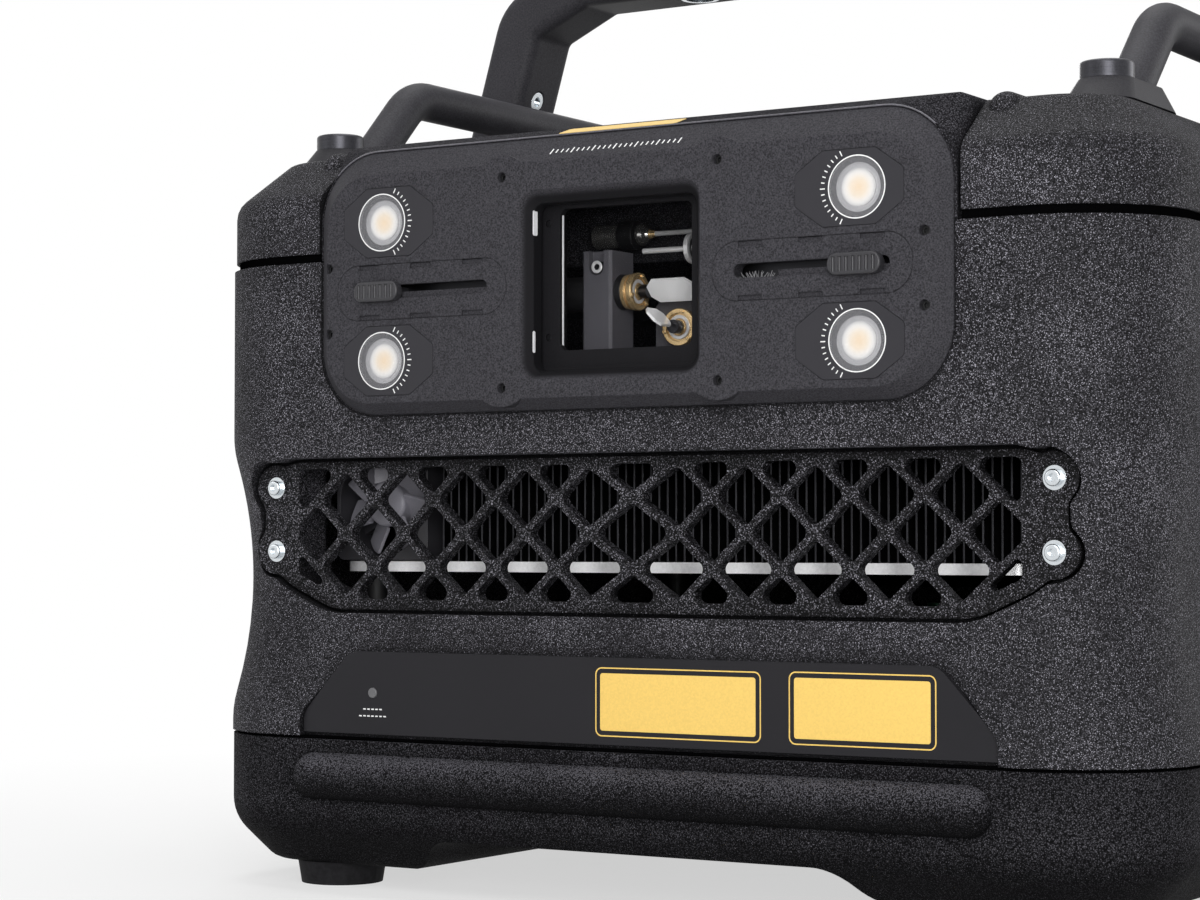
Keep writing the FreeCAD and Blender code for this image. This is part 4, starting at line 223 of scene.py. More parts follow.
def satin(name, level, roughness, specular=0.3, scale=2.4, contrast=0.35, depth=0.04 * MM, edge=0.3 * MM):
    """Painted or moulded surface with a fine speckle and a slow change of tone."""
    g = Graph(name, grey(level), roughness, specular=specular)
    fine = g.noise(scale, detail=3.0, roughness=0.6)
    drift = g.noise(0.03)
    tone = g.math("MULTIPLY_ADD", drift, 0.25, g.math("MULTIPLY", fine, 0.75))
    low = grey(level * (1 - contrast))
    high = grey(level * (1 + contrast))
    g.feed(g.ramp(tone, [(0.32, low), (0.68, high)]), "Base Color")
    g.feed(g.math("MULTIPLY_ADD", fine, 0.2, roughness - 0.1), "Roughness")
    g.feed(g.bump(fine, depth, 0.8, g.soft_edge(edge)), "Normal")
    return g.material


def plate_finish():
    """Face plate paint with a fine speckle, darkened inside the aperture: partly a matt black collar, partly
    painted shade in the recess.
    """
    g = Graph("plate_paint", grey(0.040), roughness=0.55, specular=0.06)
    fine = g.noise(1.72, detail=3.0, roughness=0.6)
    speckle = g.ramp(fine, [(0.33, grey(0.018)), (0.67, grey(0.060))])
    split = g.node("SeparateXYZ", {0: g.millimetres()})
    inside = g.math("LESS_THAN", g.math("ABSOLUTE", split.outputs[0]), collar_half_width)
    front = plate_front / MM
    reach = {"Value": split.outputs[1], "From Min": front + collar_start, "From Max": front + collar_end}
    deep = g.node("MapRange", reach, interpolation_type="SMOOTHSTEP").outputs[0]
    offset = g.math("ABSOLUTE", g.math("SUBTRACT", split.outputs[2], collar_level))
    level = g.math("LESS_THAN", offset, collar_half_height)
    # Darker going back into the aperture: partly a matt black collar, partly painted shade in the recess.
    collar = g.math("MULTIPLY", g.math("MULTIPLY", inside, level), deep)
    mix = g.node("Mix", {"Factor": collar, 6: speckle, 7: (*grey(0.010), 1.0)}, data_type="RGBA")
    g.feed(mix.outputs[2], "Base Color")
    g.feed(g.math("MULTIPLY_ADD", fine, 0.2, 0.45), "Roughness")
    g.feed(g.bump(fine, 0.06 * MM, 0.8, g.soft_edge(0.8 * MM)), "Normal")
    return g.material


def metal(name, color, roughness, streak=0.3, scale=2.0, edge=0.15 * MM, metallic=1.0):
    """Machined metal: fine grain in gloss and a slight change of tone."""
    g = Graph(name, color, roughness, metallic=metallic)
    grain = g.noise(scale, detail=4.0, roughness=0.7)
    darker = tuple(c * 0.82 for c in color)
    g.feed(g.ramp(grain, [(0.3, darker), (0.7, color)]), "Base Color")
    g.feed(g.math("MULTIPLY_ADD", grain, streak, roughness - streak / 2), "Roughness")
    g.feed(g.bump(grain, 0.01 * MM, 0.6, g.soft_edge(edge)), "Normal")
    return g.material


def turned_metal(name, color, roughness):
    """Dark metal off a lathe, with fine rings round an upright axis."""
    g = Graph(name, color, roughness, metallic=0.85)
    rings = g.noise(1.0, detail=3.0, roughness=0.6, place=g.stretched(0.05, 0.05, 5.0))
    speck = g.noise(1.6, detail=3.0, roughness=0.6)
    tone = g.math("MULTIPLY_ADD", rings, 0.5, g.math("MULTIPLY", speck, 0.5))
    darker = tuple(c * 0.7 for c in color)
    paler = tuple(c * 1.3 for c in color)
    g.feed(g.ramp(tone, [(0.35, darker), (0.65, paler)]), "Base Color")
    g.feed(g.math("MULTIPLY_ADD", speck, 0.25, roughness - 0.12), "Roughness")
    g.feed(g.bump(tone, 0.02 * MM, 0.8, g.soft_edge(0.4 * MM)), "Normal")
    return g.material


def rubber():
    """Dull black rubber with a little dust."""
    g = Graph("rubber", grey(0.010), roughness=0.75, specular=0.15)
    dust = g.noise(0.4, detail=4.0, roughness=0.7)
    g.feed(g.ramp(dust, [(0.35, grey(0.006)), (0.75, grey(0.016))]), "Base Color")
    g.feed(g.bump(g.noise(3.0, detail=3.0), 0.05 * MM, 0.7, g.soft_edge(0.5 * MM)), "Normal")
    return g.material


def clear_pane(name, color, alpha, haze, specular):
    """Clear coated glass: nearly all light goes through, and the rest is a clean gloss."""
    g = Graph(name, color, roughness=haze, specular=specular)
    g.set("Alpha", alpha)
    g.feed(g.math("MULTIPLY_ADD", g.noise(0.15, detail=3.0), haze, haze / 2), "Roughness")
    return g.material


def strobe_reach(g):
    """Distance from the nearest strobe's axis, in millimetres."""
    split = g.node("SeparateXYZ", {0: g.millimetres()})
    across = g.math("SUBTRACT", g.math("ABSOLUTE", split.outputs[0]), strobe_x / MM)
    offset = g.math("ABSOLUTE", g.math("SUBTRACT", split.outputs[2], strobe_middle / MM))
    upward = g.math("SUBTRACT", offset, strobe_half_rise / MM)
    across_square = g.math("MULTIPLY", across, across)
    upward_square = g.math("MULTIPLY", upward, upward)
    return g.math("SQRT", g.math("ADD", across_square, upward_square))


def strobe_led():
    """Phosphor disc with an amber middle and a pale soft edge, on a grey board."""
    g = Graph("strobe_led", (0.9, 0.75, 0.5), roughness=0.45)
    share = g.math("DIVIDE", strobe_reach(g), led_board_radius)
    wander = g.math("MULTIPLY_ADD", g.noise(0.8), 0.05, share)
    colors = [
        (0.0, (0.98, 0.72, 0.42)),
        (0.30, (0.98, 0.82, 0.60)),
        (0.48, (0.97, 0.92, 0.84)),
        (0.58, (0.86, 0.84, 0.81)),
        (0.72, (0.36, 0.36, 0.37)),
        (1.0, (0.31, 0.31, 0.32)),
    ]
    g.feed(g.ramp(wander, colors), "Base Color")
    g.feed(g.bump(g.noise(3.0), 0.02 * MM, 0.4), "Normal")
    return g.material


def lens_film():
    """Faintly frosted clear lens over a strobe."""
    g = Graph("lens_film", (0.62, 0.62, 0.65), roughness=0.16)
    g.set("Alpha", 0.18)
    g.feed(g.math("MULTIPLY_ADD", g.noise(1.2, detail=3.0), 0.12, 0.10), "Roughness")
    return g.material


def paint(name, color, roughness=0.5, specular=0.3):
    """Printed ink or label film with a slight unevenness."""
    g = Graph(name, color, roughness, specular=specular)
    speck = g.noise(1.5, detail=3.0)
    g.feed(g.ramp(speck, [(0.3, tuple(c * 0.9 for c in color)), (0.7, color)]), "Base Color")
    g.feed(g.bump(speck, 0.01 * MM, 0.5), "Normal")
    return g.material


def board():
    """Green circuit board with a grid of tracks."""
    g = Graph("board", (0.03, 0.16, 0.08), roughness=0.35)
    tracks = g.node("TexBrick", {"Vector": g.millimetres(), "Scale": 0.12, "Mortar Size": 0.03})
    tracks.inputs["Color1"].default_value = (0.02, 0.14, 0.07, 1)
    tracks.inputs["Color2"].default_value = (0.03, 0.18, 0.09, 1)
    tracks.inputs["Mortar"].default_value = (0.06, 0.24, 0.12, 1)
    g.feed(tracks.outputs["Color"], "Base Color")
    g.feed(g.bump(tracks.outputs["Fac"], 0.02 * MM), "Normal")
    return g.material


def mirror():
    """Coated scanner mirror: near-white and barely metallic, so its bright look is a painted reflection."""
    # Diffuse near-white colour in place of a mirror's reflection: painted reflection.
    g = Graph("mirror", (0.98, 0.98, 0.99), roughness=0.12, metallic=0.08)
    g.feed(g.math("MULTIPLY_ADD", g.noise(0.3), 0.08, 0.08), "Roughness")
    return g.material


def foam():
    """Open-cell filter foam."""
    g = Graph("filter_foam", grey(0.006), roughness=0.9, specular=0.05)
    pores = g.cells(0.9, smooth=0.2)
    g.feed(g.ramp(pores, [(0.2, grey(0.012)), (0.6, grey(0.002))]), "Base Color")
    g.feed(g.bump(pores, 0.4 * MM), "Normal")
    return g.material


# Tones are (low, middle, high, painted glint). The case coat's negative crest paints shade on its upward
# faces.
coat = grain_coat("case_coat", (0.006, 0.021, 0.068, 0.33), roughness=0.62, specular=0.08,
                  scale=1.8, depth=0.14 * MM, edge=1.2 * MM, crest=-0.14)
# The base coat's crest paints light on its upward faces, such as the top of the ridge.
base_coat = grain_coat("base_coat", (0.003, 0.011, 0.042, 0.10), roughness=0.68, specular=0.03,
                       scale=1.75, depth=0.14 * MM, edge=1.2 * MM, crest=0.50)
hood_coat = grain_coat("hood_coat", (0.008, 0.020, 0.048, 0.10), roughness=0.75, specular=0.01,
                       scale=1.75, depth=0.08 * MM, edge=0.8 * MM)
grille_coat = grain_coat("grille_coat", (0.002, 0.009, 0.058, 0.26), roughness=0.55, specular=0.09,
                         scale=1.6, depth=0.14 * MM, edge=0.5 * MM)
plate_paint = plate_finish()
tube_paint = satin("tube_paint", 0.034, roughness=0.52, specular=0.10,
                   scale=1.4, contrast=0.50, depth=0.08 * MM, edge=0.5 * MM)
panel_film = satin("panel_film", 0.019, roughness=0.34, specular=0.10,
                   scale=6.0, contrast=0.12, depth=0.01 * MM)
moulded = satin("moulded_black", 0.028, roughness=0.36, specular=0.35,
                scale=4.0, contrast=0.30, depth=0.02 * MM)
foot_paint = satin("foot_paint", 0.026, roughness=0.52, specular=0.10,
                   scale=1.8, contrast=0.45, depth=0.06 * MM, edge=0.4 * MM)
bezel = satin("bezel_grey", 0.034, roughness=0.40, specular=0.10,
              scale=6.0, contrast=0.10, depth=0.01 * MM, edge=0.2 * MM)
fan_grey = satin("fan_grey", 0.22, roughness=0.40, specular=0.35,
                 scale=3.0, contrast=0.15, depth=0.01 * MM, edge=0.4 * MM)
frame_black = satin("frame_black", 0.010, roughness=0.50, specular=0.06,
                    scale=3.0, contrast=0.40, depth=0.03 * MM)
block_grey = satin("block_grey", 0.085, roughness=0.42, specular=0.25,
                   scale=3.0, contrast=0.25, depth=0.02 * MM)
inner_black = satin("inner_black", 0.005, roughness=0.60, specular=0.05,
                    scale=3.0, contrast=0.40, depth=0.03 * MM)
# Pale grey for the painted highlight along the hood's front edge.
painted_highlight_grey = satin("painted_highlight_grey", 0.11, roughness=0.4, specular=0.3, scale=1.5, contrast=0.4)
seal_black = satin("seal_black", 0.0015, roughness=0.9, specular=0.0, scale=2.0, contrast=0.4)
zinc = metal("zinc", (0.70, 0.74, 0.77), roughness=0.22)
cap_metal = turned_metal("cap_metal", (0.040, 0.040, 0.046), roughness=0.36)
dark_steel = metal("dark_steel", (0.05, 0.05, 0.055), roughness=0.40)
brass = metal("brass", (0.86, 0.62, 0.32), roughness=0.24, streak=0.16, edge=0.2 * MM, metallic=0.75)
# Pale, mostly diffuse steel for rods, rings and rims: their brightness is a painted reflection.
steel = metal("steel", (0.84, 0.84, 0.85), roughness=0.24, streak=0.16, metallic=0.30)
polished = metal("polished_steel", (0.62, 0.61, 0.59), roughness=0.16, streak=0.08, scale=3.0, metallic=0.92)
aluminium = metal("aluminium", (0.90, 0.90, 0.91), roughness=0.36, scale=0.8, metallic=0.6)
fin_metal = metal("fin_metal", (0.05, 0.05, 0.055), roughness=0.42, scale=0.8)
black_metal = metal("black_metal", (0.012, 0.012, 0.013), roughness=0.48, metallic=0.3)
rubber_black = rubber()
filter_foam = foam()
clear = clear_pane("clear_glass", (0.01, 0.01, 0.012), alpha=0.05, haze=0.02, specular=0.03)
filter_glass = clear_pane("filter_glass", (0.10, 0.05, 0.16), alpha=0.35, haze=0.04, specular=0.5)
lens = lens_film()
led = strobe_led()
green = board()
silver = mirror()
lamp_grey = paint("lamp_grey", (0.13, 0.13, 0.135), roughness=0.35)
white_ink = paint("white_ink", (0.82, 0.82, 0.82))
yellow_film = paint("yellow_film", (0.84, 0.57, 0.15), roughness=0.42)
bristle = paint("bristle", (0.24, 0.24, 0.25), roughness=0.45)
# Near-white film for the painted highlights in the window.
highlight_white = paint("highlight_white", (0.88, 0.88, 0.90), roughness=0.35)

finishes = {
    coat: ("main_housing", "top_lid"),
    base_coat: ("base_tray",),
    hood_coat: ("aperture_hood",),
    grille_coat: ("front_grille", "rear_grille"),
    plate_paint: ("face_plate", "slider_tracks"),
    tube_paint: ("handle_left", "handle_right", "yoke", "rear_panel"),
    foot_paint: ("handle_feet",),
    panel_film: ("indicator_panel",),
    moulded: ("slider_button_left", "slider_button_right", "yoke_knob_left", "yoke_knob_right",
              "rear_sockets", "network_socket", "fan_frames"),
    bezel: ("strobe_bezels",),
    fan_grey: ("fan_rotor_front", "fan_rotor_rear_left", "fan_rotor_rear_right"),
    frame_black: ("window_frame",),
    block_grey: ("scanner_blocks",),
    inner_black: ("optical_bench",),
    zinc: ("case_screws", "key_switch", "yoke_fittings"),
    cap_metal: ("handle_caps",),
    dark_steel: ("mask_blade_left", "mask_blade_right", "optics_screws", "output_shaft", "input_shaft"),
    brass: ("output_motor", "input_motor", "pivot_bushes", "key_plug"),
    aluminium: ("duct_plate", "power_supply"),
    fin_metal: ("heatsink",),
    black_metal: ("optics_mounts", "laser_modules", "bench_posts", "face_plate_screws"),
    rubber_black: ("rubber_feet", "slot_brushes"),
    seal_black: ("base_seal", "lid_seal"),
    clear: ("aperture_glass",),
    filter_glass: ("combining_filters",),
    lamp_grey: ("emission_led",),
    lens: ("strobe_lenses",),
    led: ("strobe_leds",),
    green: ("control_board",),
    silver: ("output_mirror", "input_mirror"),
}
for material, names in finishes.items():
    for name in names:
        mesh = nodes[name].data
        mesh.materials.clear()
        mesh.materials.append(material)


class Plane:
    """Flat place on the object: (a, b) runs along it and a height stands off it."""

    def __init__(self, origin, across, up):
        self.origin = Vector(origin)
        self.across = Vector(across).normalized()
        self.up = Vector(up).normalized()
        self.out = self.across.cross(self.up)

    def point(self, a, b, height):
        return self.origin + self.across * a + self.up * b + self.out * height


def front_plane(y):
    """Plane that faces the front, at a depth y; a is X and b is Z."""
    return Plane((0, y, 0), (1, 0, 0), (0, 0, 1))


def in_metres(points):
    """Points given in millimetres, in metres."""
    return [(a * MM, b * MM) for a, b in points]


def piece(name, parts, material, body="case"):
    """New mesh of several (vertices, faces) pairs in the frame's own coordinates, riding on a body."""
    vertices = []
    faces = []
    for part_vertices, part_faces in parts:
        start = len(vertices)
        vertices += part_vertices
        faces += [tuple(start + i for i in face) for face in part_faces]
    mesh = bpy.data.meshes.new(name)
    mesh.from_pydata(vertices, [], faces)
    mesh.validate()
    mesh.materials.append(material)
    made = bpy.data.objects.new(name, mesh)
    bpy.context.scene.collection.objects.link(made)
    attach(made, body)
    return made


def slab(plane, outline, inner=None, low=0.0, high=print_lift):
    """Thin slab on a plane; inner, if given, is the outline of its hole with as many points."""
    count = len(outline)
    ring = range(count)
    vertices = [plane.point(a, b, h) for h in (high, low) for a, b in outline]
    faces = []
    if inner:
        vertices += [plane.point(a, b, h) for h in (high, low) for a, b in inner]
        for i in ring:
            j = (i + 1) % count
            faces.append((i, j, 2 * count + j, 2 * count + i))
            faces.append((count + j, count + i, 3 * count + i, 3 * count + j))
            faces.append((2 * count + i, 2 * count + j, 3 * count + j, 3 * count + i))
    else:
        faces.append(tuple(ring))
        faces.append(tuple(reversed(range(count, 2 * count))))
    for i in ring:
        j = (i + 1) % count
        faces.append((j, i, count + i, count + j))
    return vertices, faces


def circle(x, z, radius, count=72):
    """Outline of a circle."""
    turn = 2 * math.pi / count
    return [(x + radius * math.cos(turn * k), z + radius * math.sin(turn * k)) for k in range(count)]


def rounded(x0, x1, z0, z1, radius, steps=6):
    """Outline of a rectangle with round corners."""
    points = []
    for cx, cz, start in ((x1 - radius, z1 - radius, 0), (x0 + radius, z1 - radius, 90),
                          (x0 + radius, z0 + radius, 180), (x1 - radius, z0 + radius, 270)):
        for k in range(steps + 1):
            angle = math.radians(start + 90 * k / steps)
            points.append((cx + radius * math.cos(angle), cz + radius * math.sin(angle)))
    return points


def inset(x0, x1, z0, z1, edge, radius):
    """Outline of a rounded rectangle, drawn in by an edge on all sides."""
    return rounded(x0 + edge, x1 - edge, z0 + edge, z1 - edge, radius)


def stroke(plane, x, z, angle, length, width):
    """Short printed stroke centred on a point."""
    run = Vector((math.cos(angle), math.sin(angle))) * (length / 2)
    side = Vector((-run.y, run.x)).normalized() * (width / 2)
    corners = [run + side, -run + side, -run - side, run - side]
    return slab(plane, [(x + c.x, z + c.y) for c in corners])


def strobe_marks():
    """White ring round each lens and a fan of plain ticks on its inner side."""
    ring_outer, ring_inner = 10.9 * MM, 10.48 * MM
    tick_count, tick_step, tick_start = 15, 9, -63
    tick_reach, tick_width = 13.0 * MM, 0.4 * MM
    short_tick, long_tick, long_every = 1.3 * MM, 1.9 * MM, 7
    plane = front_plane(plate_front)
    parts = []
    for side in (-1, 1):
        for level in (strobe_low, strobe_high):
            x = side * strobe_x
            parts.append(slab(plane, circle(x, level, ring_outer), circle(x, level, ring_inner)))
            facing = 180 if side > 0 else 0
            for k in range(tick_count):
                angle = math.radians(facing + tick_start + tick_step * k)
                length = short_tick if k % long_every else long_tick
                middle_x = x + tick_reach * math.cos(angle)
                middle_z = level + tick_reach * math.sin(angle)
                parts.append(stroke(plane, middle_x, middle_z, angle, length, tick_width))
    piece("strobe_marks", parts, white_ink)


def aperture_marks():
    """Row of plain slanted ticks on the face plate's upper bevel."""
    tick_count, tick_slant, tick_width = 25, 72, 0.5 * MM
    short_tick, long_tick, long_every = 1.7 * MM, 2.6 * MM, 4
    row_start, row_length, row_rise = -25.0, 54.0, 4.2 * MM
    plane = Plane((0, plate_front, plate_top - bevel_rise * MM), (1, 0, 0), (0, bevel_run, bevel_rise))
    parts = []
    for k in range(tick_count):
        x = (row_start + row_length * k / (tick_count - 1)) * MM
        length = short_tick if k % long_every else long_tick
        parts.append(stroke(plane, x, row_rise, math.radians(tick_slant), length, tick_width))
    piece("aperture_marks", parts, white_ink)


def emission_marks():
    """Two short rows of plain dashes under the emission light."""
    first_drop, row_pitch, dash_pitch = 4.2, 2.6, 1.9
    dash_length, dash_width = 1.2 * MM, 0.5 * MM
    plane = front_plane(panel_front)
    parts = []
    for row, count in ((0, 5), (1, 7)):
        z = emission_low.z - (first_drop + row_pitch * row) * MM
        for k in range(count):
            x = emission_x + (k - (count - 1) / 2) * dash_pitch * MM
            parts.append(stroke(plane, x, z, 0.0, dash_length, dash_width))
    piece("emission_marks", parts, white_ink)


def yellow_plates():
    """Blank yellow plates on the indicator panel, each inside a thin yellow line, and one on the hood."""
    line, line_round, line_inner_round = 0.45 * MM, 2.6 * MM, 2.2 * MM
    field_edge, field_round, strip_round = 2.1 * MM, 1.0 * MM, 1.2 * MM
    plane = front_plane(panel_front)
    parts = []
    for span in panel_plate_spans:
        sides = [value * MM for value in span]
        parts.append(slab(plane, inset(*sides, 0, line_round), inset(*sides, line, line_inner_round)))
        parts.append(slab(plane, inset(*sides, field_edge, field_round), high=plate_film))
    slope = Plane((0, hood_low.y, hood_high.z - hood_rise * MM), (1, 0, 0), (0, hood_run, hood_rise))
    strip = rounded(*(value * MM for value in hood_plate_span), strip_round)
    parts.append(slab(slope, strip, high=plate_film))
    piece("yellow_plates", parts, yellow_film)


def bristles():
    """Loose brush hairs that fan out in the open end of the right slot."""
    random.seed(7)
    count = 34
    first_root, root_run = 54.0, 13.5
    slot_depth, slot_half_height = 2.4 * MM, 2.45 * MM
    upright_share, fan_angle = 0.45, 1.9
    plane = front_plane(plate_front + slot_depth)
    foot = track_level - slot_half_height
    parts = []
    for k in range(count):
        share = k / (count - 1)
        root = (first_root + root_run * share + random.uniform(-0.4, 0.4)) * MM
        lean = (share - upright_share) * fan_angle + random.uniform(-0.5, 0.5)
        rise = random.uniform(1.5, 2.6) * MM
        half = random.uniform(0.06, 0.13) * MM
        tip = root + rise * math.sin(lean)
        top = foot + rise * math.cos(lean)
        outline = [(root - half, foot), (root + half, foot), (tip + half / 3, top), (tip - half / 3, top)]
        depth = random.uniform(-0.8, 0.8) * MM
        parts.append(slab(plane, outline, low=depth, high=depth + 2 * half))
    piece("slot_bristles", parts, bristle)


def lathe(plane, a, b, profile, count=64):
    """Ring turned round an axis that stands on the plane at (a, b), from (radius, height) points."""
    turn = 2 * math.pi / count
    rows = len(profile)
    vertices = []
    faces = []
    for k in range(count):
        cosine, sine = math.cos(turn * k), math.sin(turn * k)
        for radius, height in profile:
            vertices.append(plane.point(a + radius * cosine, b + radius * sine, height))
        for i in range(rows):
            j = (i + 1) % rows
            here = k * rows
            there = (k + 1) % count * rows
            faces.append((here + i, there + i, there + j, here + j))
    return vertices, faces


def ring_profile(inner, outer, height, edge):
    """Closed (radius, height) outline of a flat ring with chamfered upper edges."""
    return [(inner, 0), (outer, 0), (outer, height - edge), (outer - edge, height),
            (inner + edge, height), (inner, height - edge)]


def motor_profile():
    """Closed (radius, height) outline of a motor's brass front: rim, recess, hub, neck and flange."""
    points = [(1.65, 0.0), (2.9, 0.0), (3.1, -0.2), (3.1, -0.9), (5.2, -0.9), (5.2, -0.2),
              (5.4, 0.0), (6.8, 0.0), (7.08, -0.3), (7.08, -2.0), (6.9, -2.2), (5.9, -2.3),
              (5.9, -3.3), (6.6, -3.5), (6.6, -5.0), (1.65, -5.0)]
    return in_metres(reversed(points))


def body_profile(length):
    """Closed (radius, height) outline of the dark body behind a motor's front."""
    points = [(1.65, -5.0), (6.4, -5.0), (6.68, -5.3), (6.68, -length), (1.65, -length)]
    return in_metres(reversed(points))


def motor(node, face, a, b):
    """Galvanometer motor: turned brass front with screws, dark body and a steel ring round the shaft."""
    screw_reach, screw_count, screw_start = 6.1 * MM, 3, 75
    body_length, recess = 39.0, 0.9 * MM
    screw_head = in_metres([(0.25, 0.0), (0.75, 0.0), (0.9, 0.15), (0.9, 0.45), (0.7, 0.6), (0.25, 0.6)])
    screws = []
    for k in range(screw_count):
        angle = math.radians(360 / screw_count * k + screw_start)
        across = a + screw_reach * math.cos(angle)
        up = b + screw_reach * math.sin(angle)
        screws.append(lathe(face, across, up, screw_head, count=20))
    front = piece(node + "_front", [lathe(face, a, b, motor_profile())] + screws, brass)
    barrel = lathe(face, a, b, body_profile(body_length))
    body = piece(node + "_body", [barrel], black_metal)
    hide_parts(node)
    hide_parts(node)
    ring = ring_profile(inner=3.25 * MM, outer=4.6 * MM, height=0.5 * MM, edge=0.15 * MM)
    seat = [(radius, height - recess) for radius, height in ring]
    piece(node + "_ring", [lathe(face, a, b, seat)], steel)


def motors():
    """The two scanner motors, each turned round the axis of the solid that it replaces."""
    input_face = front_plane(input_low.y)
    motor("input_motor", input_face, 0, (input_low.z + input_high.z) / 2)
    output_face = Plane((output_high.x, 0, 0), (0, 1, 0), (0, 0, 1))
    motor("output_motor", output_face, (output_low.y + output_high.y) / 2, (output_low.z + output_high.z) / 2)


def turned_along_x(place, points):
    """Lathe piece whose axis runs along X; points are (radius, distance from the place) in millimetres."""
    plane = Plane([value * MM for value in place], (0, 1, 0), (0, 0, 1))
    return lathe(plane, 0, 0, in_metres(reversed(points)))


def adjuster():
    """Sleeves on the steering mount: threaded tail, collar, polished dome, brass tip, rods and a ring nut."""
    root, crest, pitch, flank = 4.62, 4.8, 0.95, 0.4
    ridge_count, tail_start, tail_end, bore = 12, -8.0, 3.5, 0.4
    tail = [(bore, tail_start)]
    for k in range(ridge_count):
        tail += [(root, tail_start + pitch * k), (crest, tail_start + flank + pitch * k)]
    tail += [(root, tail_end), (bore, tail_end)]
    dome = [(0.4, 10.4), (3.4, 10.4), (4.3, 11.4), (4.5, 12.6), (4.0, 14.0), (2.8, 15.2),
            (2.3, 16.0), (0.4, 16.0)]
    thread = [(0.2, 18.0), (0.95, 18.0), (0.95, 53.5), (0.2, 53.5)]
    collar = [(3.0, 3.4), (5.3, 3.4), (5.7, 3.8), (5.7, 10.1), (5.3, 10.5), (3.0, 10.5)]
    tip = [(0.4, 15.9), (1.9, 15.9), (1.6, 16.8), (1.2, 18.3), (0.4, 18.3)]
    guide = [(0.2, 0.0), (1.05, 0.0), (1.05, 30.5), (0.2, 30.5)]
    nut = [(4.3, 20.4), (5.5, 20.4), (5.8, 20.7), (5.8, 22.2), (5.5, 22.5), (4.3, 22.5)]
    bolt = [(0.9, 19.6), (1.8, 19.6), (2.1, 19.9), (2.1, 23.0), (0.9, 23.0)]
    disc = [(1.0, 20.9), (4.4, 20.9), (4.4, 22.1), (1.0, 22.1)]
    sleeves = [turned_along_x(steering_place, tail), turned_along_x(steering_place, dome)]
    rods = [turned_along_x(steering_place, thread)]
    rods += [turned_along_x(guide_place, points) for points in (guide, nut, bolt)]
    dark = [turned_along_x(steering_place, collar), turned_along_x(guide_place, disc)]
    piece("adjuster_sleeves", sleeves, polished)
    piece("adjuster_rods", rods, steel)
    piece("adjuster_collar", dark, black_metal)
    piece("adjuster_tip", [turned_along_x(steering_place, tip)], brass)


def clamp_screw_rim():
    """Bright chamfered rim on the clamp post's socket screw."""
    x, y, z = (value * MM for value in post_screw_place)
    rim = in_metres([(1.15, -0.2), (2.38, -0.2), (2.38, 0.1), (2.1, 0.35), (1.4, 0.35), (1.15, 0.1)])
    piece("clamp_screw_rim", [lathe(front_plane(y), x, z, rim, count=40)], steel)


def hood_lip_highlight():
    """Thin pale bar along the hood's front and the start of its round corners: a painted highlight on that
    edge.
    """
    corner = hood_corner * MM
    half = hood_high.x
    rise = hood_high.z - hood_rise * MM
    depth = hood_low.y - 0.05 * MM
    thick = 0.32 * MM
    sides = 6
    arc_start, arc_step, arc_points = 135, 7.5, 7
    path = []
    for k in range(arc_points):
        angle = math.radians(arc_start - arc_step * k)
        path.append((-half + corner + corner * math.cos(angle), rise - corner + corner * math.sin(angle)))
    path += [(-x, z) for x, z in reversed(path)]
    vertices = []
    faces = []
    for i, (x, z) in enumerate(path):
        ahead = Vector(path[min(i + 1, len(path) - 1)])
        behind = Vector(path[max(i - 1, 0)])
        run = (ahead - behind).normalized()
        for s in range(sides):
            turn = 2 * math.pi * s / sides
            out = thick * math.cos(turn)
            vertices.append(Vector((x - run.y * out, depth + thick * math.sin(turn), z + run.x * out)))
    for i in range(len(path) - 1):
        here = i * sides
        there = here + sides
        for s in range(sides):
            t = (s + 1) % sides
            faces.append((here + s, here + t, there + t, there + s))
    faces.append(tuple(range(sides)))
    faces.append(tuple(reversed(range(len(vertices) - sides, len(vertices)))))
    piece("hood_lip_highlight", [(vertices, faces)], painted_highlight_grey)


def window_edges():
    """Bright strips at the left of the window, painted highlights: a white one on the frame's polished edge
    and two white rounded ones on the collar's left wall.
    """
    edge_film, highlight_film, highlight_round = 0.12 * MM, 0.25 * MM, 0.69 * MM
    near, far = window_frame_back - 1.5 * MM, window_frame_back - 0.5 * MM
    bottom, top = (level * MM for level in window_edge_levels)
    left = Plane((window_side * MM, 0, 0), (0, 1, 0), (0, 0, 1))
    edge = [(near, bottom), (far, bottom), (far, top), (near, top)]
    piece("window_edge_highlight", [slab(left, edge, high=edge_film)], highlight_white)
    wall = Plane((collar_side * MM, 0, 0), (0, 1, 0), (0, 0, 1))
    highlights = []
    for y0, y1, z0, z1 in highlight_spans:
        outline = rounded(y0 * MM, y1 * MM, z0 * MM, z1 * MM, highlight_round)
        highlights.append(slab(wall, outline, high=highlight_film))
    piece("window_highlights", highlights, highlight_white)


def dust_filter():
    """Pleated foam filter against the back of the rear grille."""
    low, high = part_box("rear_grille")
    pleat_depth, thick, half, folds = 4.6 * MM, 0.8 * MM, 153 * MM, 60
    gap, foot_gap, head_gap = 0.05 * MM, 3 * MM, 1.5 * MM
    near, far = low.y - pleat_depth, low.y - gap
    bottom, top = low.z + foot_gap, high.z - head_gap
    outer = []
    inner = []
    for k in range(folds + 1):
        x = -half + 2 * half * k / folds
        y = near if k % 2 else far - thick
        outer.append((x, y + thick))
        inner.append((x, y))
    outline = outer + list(reversed(inner))
    count = len(outline)
    vertices = [Vector((x, y, z)) for z in (bottom, top) for x, y in outline]
    faces = []
    for k in range(folds):
        quad = (k, k + 1, count - 2 - k, count - 1 - k)
        faces.append(quad)
        faces.append(tuple(count + i for i in reversed(quad)))
    for i in range(count):
        j = (i + 1) % count
        faces.append((j, i, count + i, count + j))
    piece("dust_filter", [(vertices, faces)], filter_foam)


